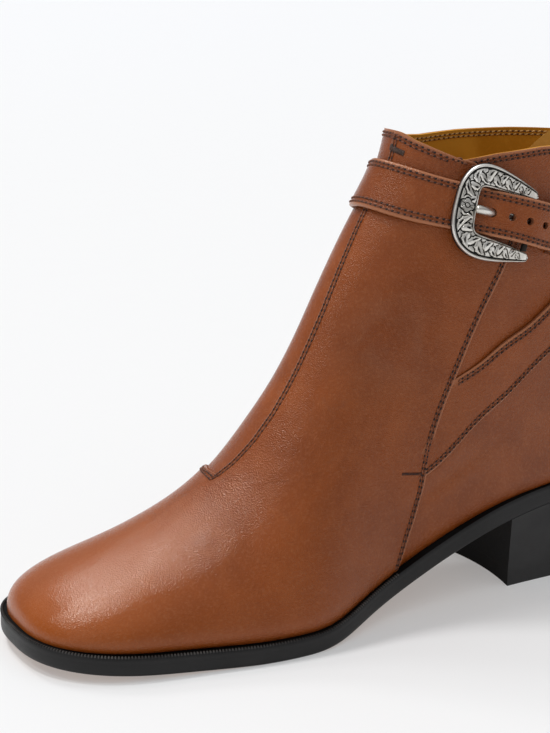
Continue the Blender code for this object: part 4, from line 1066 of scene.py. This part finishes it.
# stitches: geometry nodes set one thread grain after another along guide lines
def threadTree():
    tree = bpy.data.node_groups.new("threadRow", "GeometryNodeTree")
    tree.interface.new_socket("Guide", in_out="INPUT", socket_type="NodeSocketGeometry")
    for name, kind, value in (("Pitch", "NodeSocketFloat", 0.002), ("Length", "NodeSocketFloat", 0.0017),
                              ("Width", "NodeSocketFloat", 0.0007), ("Height", "NodeSocketFloat", 0.0005),
                              ("Slant", "NodeSocketFloat", 0.0)):
        tree.interface.new_socket(name, in_out="INPUT", socket_type=kind).default_value = value
    tree.interface.new_socket("Thread", in_out="INPUT", socket_type="NodeSocketMaterial")
    tree.interface.new_socket("Rows", in_out="OUTPUT", socket_type="NodeSocketGeometry")
    nodes, links = tree.nodes, tree.links

    def add(kind, settings=None, **sockets):
        node = nodes.new(kind)
        for key, value in (settings or {}).items():
            setattr(node, key, value)
        for key, value in sockets.items():
            slot = node.inputs[key.replace("_", " ")]
            if isinstance(value, bpy.types.NodeSocket):
                links.new(value, slot)
            else:
                slot.default_value = value
        return node

    source = add("NodeGroupInput").outputs
    curve = add("GeometryNodeMeshToCurve", Mesh=source["Guide"])
    even = add("GeometryNodeResampleCurve", Curve=curve.outputs[0])
    if "Mode" in even.inputs:
        even.inputs["Mode"].default_value = "Length"
    else:
        even.mode = "LENGTH"
    links.new(source["Pitch"], even.inputs["Length"])
    tangent = add("GeometryNodeInputTangent")
    normal = add("GeometryNodeInputNamedAttribute", {"data_type": "FLOAT_VECTOR"}, Name="faceWay")
    turned = add("FunctionNodeAlignRotationToVector", {"axis": "X"}, Vector=tangent.outputs[0])
    stood = add("FunctionNodeAlignRotationToVector", {"axis": "Z", "pivot_axis": "X"},
                Rotation=turned.outputs[0], Vector=normal.outputs[0])
    slant = add("FunctionNodeAxisAngleToRotation", Axis=(0.0, 0.0, 1.0), Angle=source["Slant"])
    laid = add("FunctionNodeRotateRotation", {"rotation_space": "LOCAL"}, Rotation=stood.outputs[0],
               Rotate_By=slant.outputs[0])
    grain = add("GeometryNodeMeshUVSphere", Segments=8, Rings=5, Radius=0.5)
    size = add("ShaderNodeCombineXYZ", X=source["Length"], Y=source["Width"], Z=source["Height"])
    placed = add("GeometryNodeInstanceOnPoints", Points=even.outputs[0], Instance=grain.outputs[0],
                 Rotation=laid.outputs[0], Scale=size.outputs[0])
    real = add("GeometryNodeRealizeInstances", Geometry=placed.outputs[0])
    dressed = add("GeometryNodeSetMaterial", Geometry=real.outputs[0], Material=source["Thread"])
    links.new(dressed.outputs[0], add("NodeGroupOutput").inputs[0])
    return tree


threadRow = threadTree()


def surfaceOf(*pieces):
    return [BVHTree.FromPolygons([v.co for v in p.data.vertices],
                                 [tuple(q.vertices) for q in p.data.polygons]) for p in pieces]


def snap(trees, points, lift=0.05):
    # points of the last brought onto the nearest of some pieces, with the way out of the surface
    spots, ways = [], []
    for p in toRow(points):
        best = min((t.find_nearest(Vector(p)) for t in trees), key=lambda hit: hit[3])
        spots.append(best[0] + best[1] * lift * 0.001)
        ways.append(best[1])
    return np.array(spots), np.array(ways)


def stitchPiece(name, rows, material, slotName, **sizes):
    points, ways, edges = [], [], []
    for spots, normals in rows:
        start = len(points)
        points += [tuple(p) for p in spots]
        ways += [tuple(n) for n in normals]
        edges += [(k, k + 1) for k in range(start, len(points) - 1)]
    mesh = bpy.data.meshes.new(name)
    mesh.from_pydata(points, edges, [])
    way = mesh.attributes.new("faceWay", "FLOAT_VECTOR", "POINT")
    way.data.foreach_set("vector", np.array(ways, np.float32).reshape(-1))
    piece = bpy.data.objects.new(name, mesh)
    bpy.context.collection.objects.link(piece)
    rowsModifier = piece.modifiers.new("rows", "NODES")
    rowsModifier.node_group = threadRow
    for item in threadRow.interface.items_tree:
        if item.in_out == "INPUT" and item.name in sizes:
            rowsModifier[item.identifier] = sizes[item.name]
        if item.in_out == "INPUT" and item.name == "Thread":
            rowsModifier[item.identifier] = material
    depsgraph = bpy.context.evaluated_depsgraph_get()
    done = bpy.data.meshes.new_from_object(piece.evaluated_get(depsgraph))
    piece.modifiers.clear()
    piece.data = done
    done.shade_smooth()
    adopt(piece, slotName)
    return piece


stitchLook = {"Pitch": 0.00245, "Length": 0.0019, "Width": 0.00082, "Height": 0.0009, "Slant": 0.28}
# hole grains between the stitches are painted shade in the needle holes
holeLook = {"Length": 0.0011, "Width": 0.0009, "Height": 0.0005, "Slant": 0.5}    # between the stitches
rowLook = {"upper": (1.35, 2.65), "lining": (1.5, 2.8), "insideColumn": 12, "outOfBend": 2.0}


def holeRows(rows):
    # the same lines begun and ended half a stitch later and sooner
    moved = []
    for spots, ways in rows:
        size = np.concatenate([[0], np.cumsum(np.linalg.norm(np.diff(spots, axis=0), axis=1))])
        half = size[-1] / max(int(size[-1] / stitchLook["Pitch"]), 1) / 2
        reach = np.linspace(half, size[-1] - half, len(spots))
        moved.append([np.stack([np.interp(reach, size, c) for c in part.T], 1) for part in (spots, ways)])
    return moved


def sewRows(name, rows, thread, hole, slotName):
    stitchPiece(name + "Stitches", rows, thread, slotName, **stitchLook)
    stitchPiece(name + "Holes", holeRows(rows), hole, slotName, Pitch=stitchLook["Pitch"], **holeLook)


def besideEdge(edge, inside, away, normal=None):
    # a line at a distance from an edge, towards the side that another line marks
    way = np.gradient(edge, axis=0)
    way /= np.linalg.norm(way, axis=1, keepdims=True) + 1e-9
    off = inside - edge
    if normal is None:
        off -= np.sum(off * way, 1, keepdims=True) * way
    else:
        square = np.cross(way, normal)
        off = square * np.sign(np.sum(square * off))
    off /= np.linalg.norm(off, axis=1, keepdims=True) + 1e-9
    return edge + off * away


def smoothLine(points, count):
    return along(points, np.linspace(0, 1, count))


panelTree = surfaceOf(vampPanel)
quarterTree = surfaceOf(quarterPanel)
bandTree = surfaceOf(ankleBand)
insideColumn = rowLook["insideColumn"]
quarterRim = [quarterOuter[row] + quarterNormal[row] for row in (-1, -8)]
frontEdge = panelOuter[:, -1] + panelNormal[:, -1] * rowLook["outOfBend"]    # clear of the bend at the lip
rows = []
for away in rowLook["upper"]:
    sideRow = besideEdge(panelOuter[:, 0], panelOuter[:, insideColumn], away)
    rows.append(snap(panelTree, smoothLine(sideRow[2:-1], 260)))
    frontRow = besideEdge(frontEdge, panelOuter[:, -1 - insideColumn], away, panelNormal[:, -1])
    rows.append(snap(panelTree, smoothLine(frontRow[2:-1], 300)))
    collarRow = besideEdge(panelOuter[-1], panelOuter[-8], away)
    rows.append(snap(panelTree, smoothLine(collarRow[2:-2], 200)))
    rows.append(snap(quarterTree, smoothLine(besideEdge(*quarterRim, away)[1:-1], 260)))
sewRows("seam", rows, brownThread, needleHoleShade, "upper_leather")

bandRows = []
for away in rowLook["upper"]:
    for side in (-1, 1):
        angle = np.linspace(strapLook["start"] + 2.5, angleAt(strapLook["end"] - 3), 420)
        past = np.interp(angle, scaleAngle, scalePast)
        low, high, lean = (strap.at(n, angle) for n in ("low", "high", "lean"))
        half = (high - low) / 2
        across = side * (half - away * 1.06)
        square = angleAt(strapLean(past, across)[0]) - angle
        turned = angle + lean / 2 * side + square * step(strapLook["squareFrom"], strapLook["squareTo"], past)
        lift = strapLift.at("lift", past) + strap.at("thick", angle) + 0.5
        bandRows.append(snap(bandTree, shellPoint(turned, (low + high) / 2 + across, lift)))
sewRows("band", bandRows, brownThread, needleHoleShade, "upper_leather")

liningTree = surfaceOf(lining)
liningLines = [besideEdge(liningInner[-1], liningInner[-4], away) for away in rowLook["lining"]]
liningLines = [snap(liningTree, smoothLine(line, 300)) for line in liningLines]
sewRows("lining", liningLines, liningThread, liningHoleShade, "lining_leather")
print("stitches made")

# welt ribs: one short rib after another on the ledge, in a light grey that is painted highlight on the black
# welt
ribLook = {"Pitch": 0.0012, "Length": 0.0008, "Width": 0.0015, "Height": 0.0011}
ribInset = -0.55
ribLine = planLoop(ribInset, 900)
ribLine = ribLine[ribLine[:, 0] > soleLook["ribFrom"]]
turnAt = int(np.argmax(np.linalg.norm(np.diff(ribLine, axis=0), axis=1)))
ribLine = np.concatenate([ribLine[turnAt + 1:], ribLine[:turnAt + 1]])
ribSpots = toRow(np.concatenate([ribLine, weltTop(ribLine[:, 0])[:, None]], 1))
ribWays = np.tile([0.0, 0.0, 1.0], (len(ribSpots), 1))
stitchPiece("weltRibs", [(ribSpots, ribWays)], ribHighlight, "sole_black", **ribLook)
print("ribs made")

# bar tacks: short close rows of thread, one at the collar and one at the outer seam
tackLook = {"Pitch": 0.0005, "Length": 0.0006, "Width": 0.0024, "Height": 0.0010}
seamTackLook = {"Pitch": 0.0005, "Length": 0.0006, "Width": 0.0012, "Height": 0.0006}
collarTack = shellPoint(np.linspace(0.8, 10.6, 14), np.linspace(180.0, 177.9, 14), 1.8)
seamTack = np.stack([np.linspace(105.4, 114.4, 12), np.full(12, 34.0), np.linspace(57.0, 58.4, 12)], 1)
stitchPiece("barTacks", [snap(panelTree, collarTack)], tackThread, "upper_leather", **tackLook)
stitchPiece("seamTacks", [snap(panelTree, seamTack)], tickThread, "upper_leather", **seamTackLook)
print("tacks made")

# studio: floor, lights and camera
floorMesh = bpy.data.meshes.new("studioFloor")
reach = 9.0
floorCorners = [(-reach, -reach, 0), (reach, -reach, 0), (reach, reach, 0), (-reach, reach, 0)]
floorMesh.from_pydata(floorCorners, [], [(0, 1, 2, 3)])
floorLook = Finish("floorPaper", Emission_Color=(1.0, 1.0, 1.0, 1.0), Emission_Strength=0.28)
distance = floorLook.node("ShaderNodeVectorMath", {"operation": "LENGTH"}, {0: floorLook.place}, "Value")
paper = floorLook.mix(floorLook.fade(distance, 0.1, 3.2), colour(192, 192, 192), colour(193, 194, 196))
floorMesh.materials.append(floorLook.feed(Base_Color=paper, Roughness=0.7 + floorLook.noise(40.0) * 0.1))
floor = bpy.data.objects.new("studioFloor", floorMesh)
bpy.context.collection.objects.link(floor)

studioLook = {"zenith": 0.74, "horizon": 0.24, "from": 0.1, "to": 0.9}
world = bpy.data.worlds.new("studioWorld")
bpy.context.scene.world = world
world.use_nodes = True
sky = world.node_tree
skyWay = sky.nodes.new("ShaderNodeTexCoord")
skySplit = sky.nodes.new("ShaderNodeSeparateXYZ")
skyRange = sky.nodes.new("ShaderNodeMapRange")
skyRange.interpolation_type = "SMOOTHSTEP"
for slot, value in (("From Min", studioLook["from"]), ("From Max", studioLook["to"]),
                    ("To Min", studioLook["horizon"]), ("To Max", studioLook["zenith"])):
    skyRange.inputs[slot].default_value = value
sky.links.new(skyWay.outputs["Generated"], skySplit.inputs[0])
sky.links.new(skySplit.outputs["Z"], skyRange.inputs["Value"])
sky.links.new(skyRange.outputs[0], sky.nodes["Background"].inputs["Strength"])
sky.nodes["Background"].inputs["Color"].default_value = (0.97, 0.98, 1.0, 1.0)


def softLight(name, way, spread, strength):
    # far soft box: the way to it from the boot, its angle across in degrees
    data = bpy.data.lights.new(name, "SUN")
    data.angle, data.energy = math.radians(spread), strength
    light = bpy.data.objects.new(name, data)
    light.rotation_euler = Vector(way).to_track_quat("Z", "Y").to_euler()
    bpy.context.collection.objects.link(light)


# soft boxes: the way to each, its angle across and its strength
lightLook = {
    "overhead": ((0.26, -0.28, 0.92), 8.0, 1.1),
    "overBall": ((0.03, -0.45, 0.89), 9.0, 0.3),
    "overInstep": ((0.58, -0.23, 0.79), 9.0, 0.45),
    "overToe": ((0.06, -0.66, 0.75), 10.0, 0.4),
    "frontFill": ((0.80, 0.40, 0.40), 36.0, 0.2),
}
for name, values in lightLook.items():
    softLight(name, *values)
bpy.context.scene.view_settings.view_transform = "Standard"

cameraLook = {"turn": 30.9, "away": 650.0, "centre": 130.0, "height": 275.6, "aside": 1.81, "pitch": 15.46,
              "focalPixels": 1736.6, "imageHeight": 733}
turn, aside, pitch = (math.radians(cameraLook[k]) for k in ("turn", "aside", "pitch"))
cameraData = bpy.data.cameras.new("photoCamera")
cameraData.sensor_fit, cameraData.sensor_height = "VERTICAL", 36.0
cameraData.lens = cameraLook["focalPixels"] * cameraData.sensor_height / cameraLook["imageHeight"]
cameraData.clip_start, cameraData.clip_end = 0.01, 40.0
camera = bpy.data.objects.new("photoCamera", cameraData)
camera.location = toRow((cameraLook["centre"] + cameraLook["away"] * math.sin(turn),
                         cameraLook["away"] * math.cos(turn), cameraLook["height"]))
ahead = Vector((-math.sin(turn - aside), -math.cos(turn - aside), -math.tan(pitch)))
camera.rotation_euler = ahead.to_track_quat("-Z", "Y").to_euler()
bpy.context.collection.objects.link(camera)
bpy.context.scene.camera = camera

print("studio made")
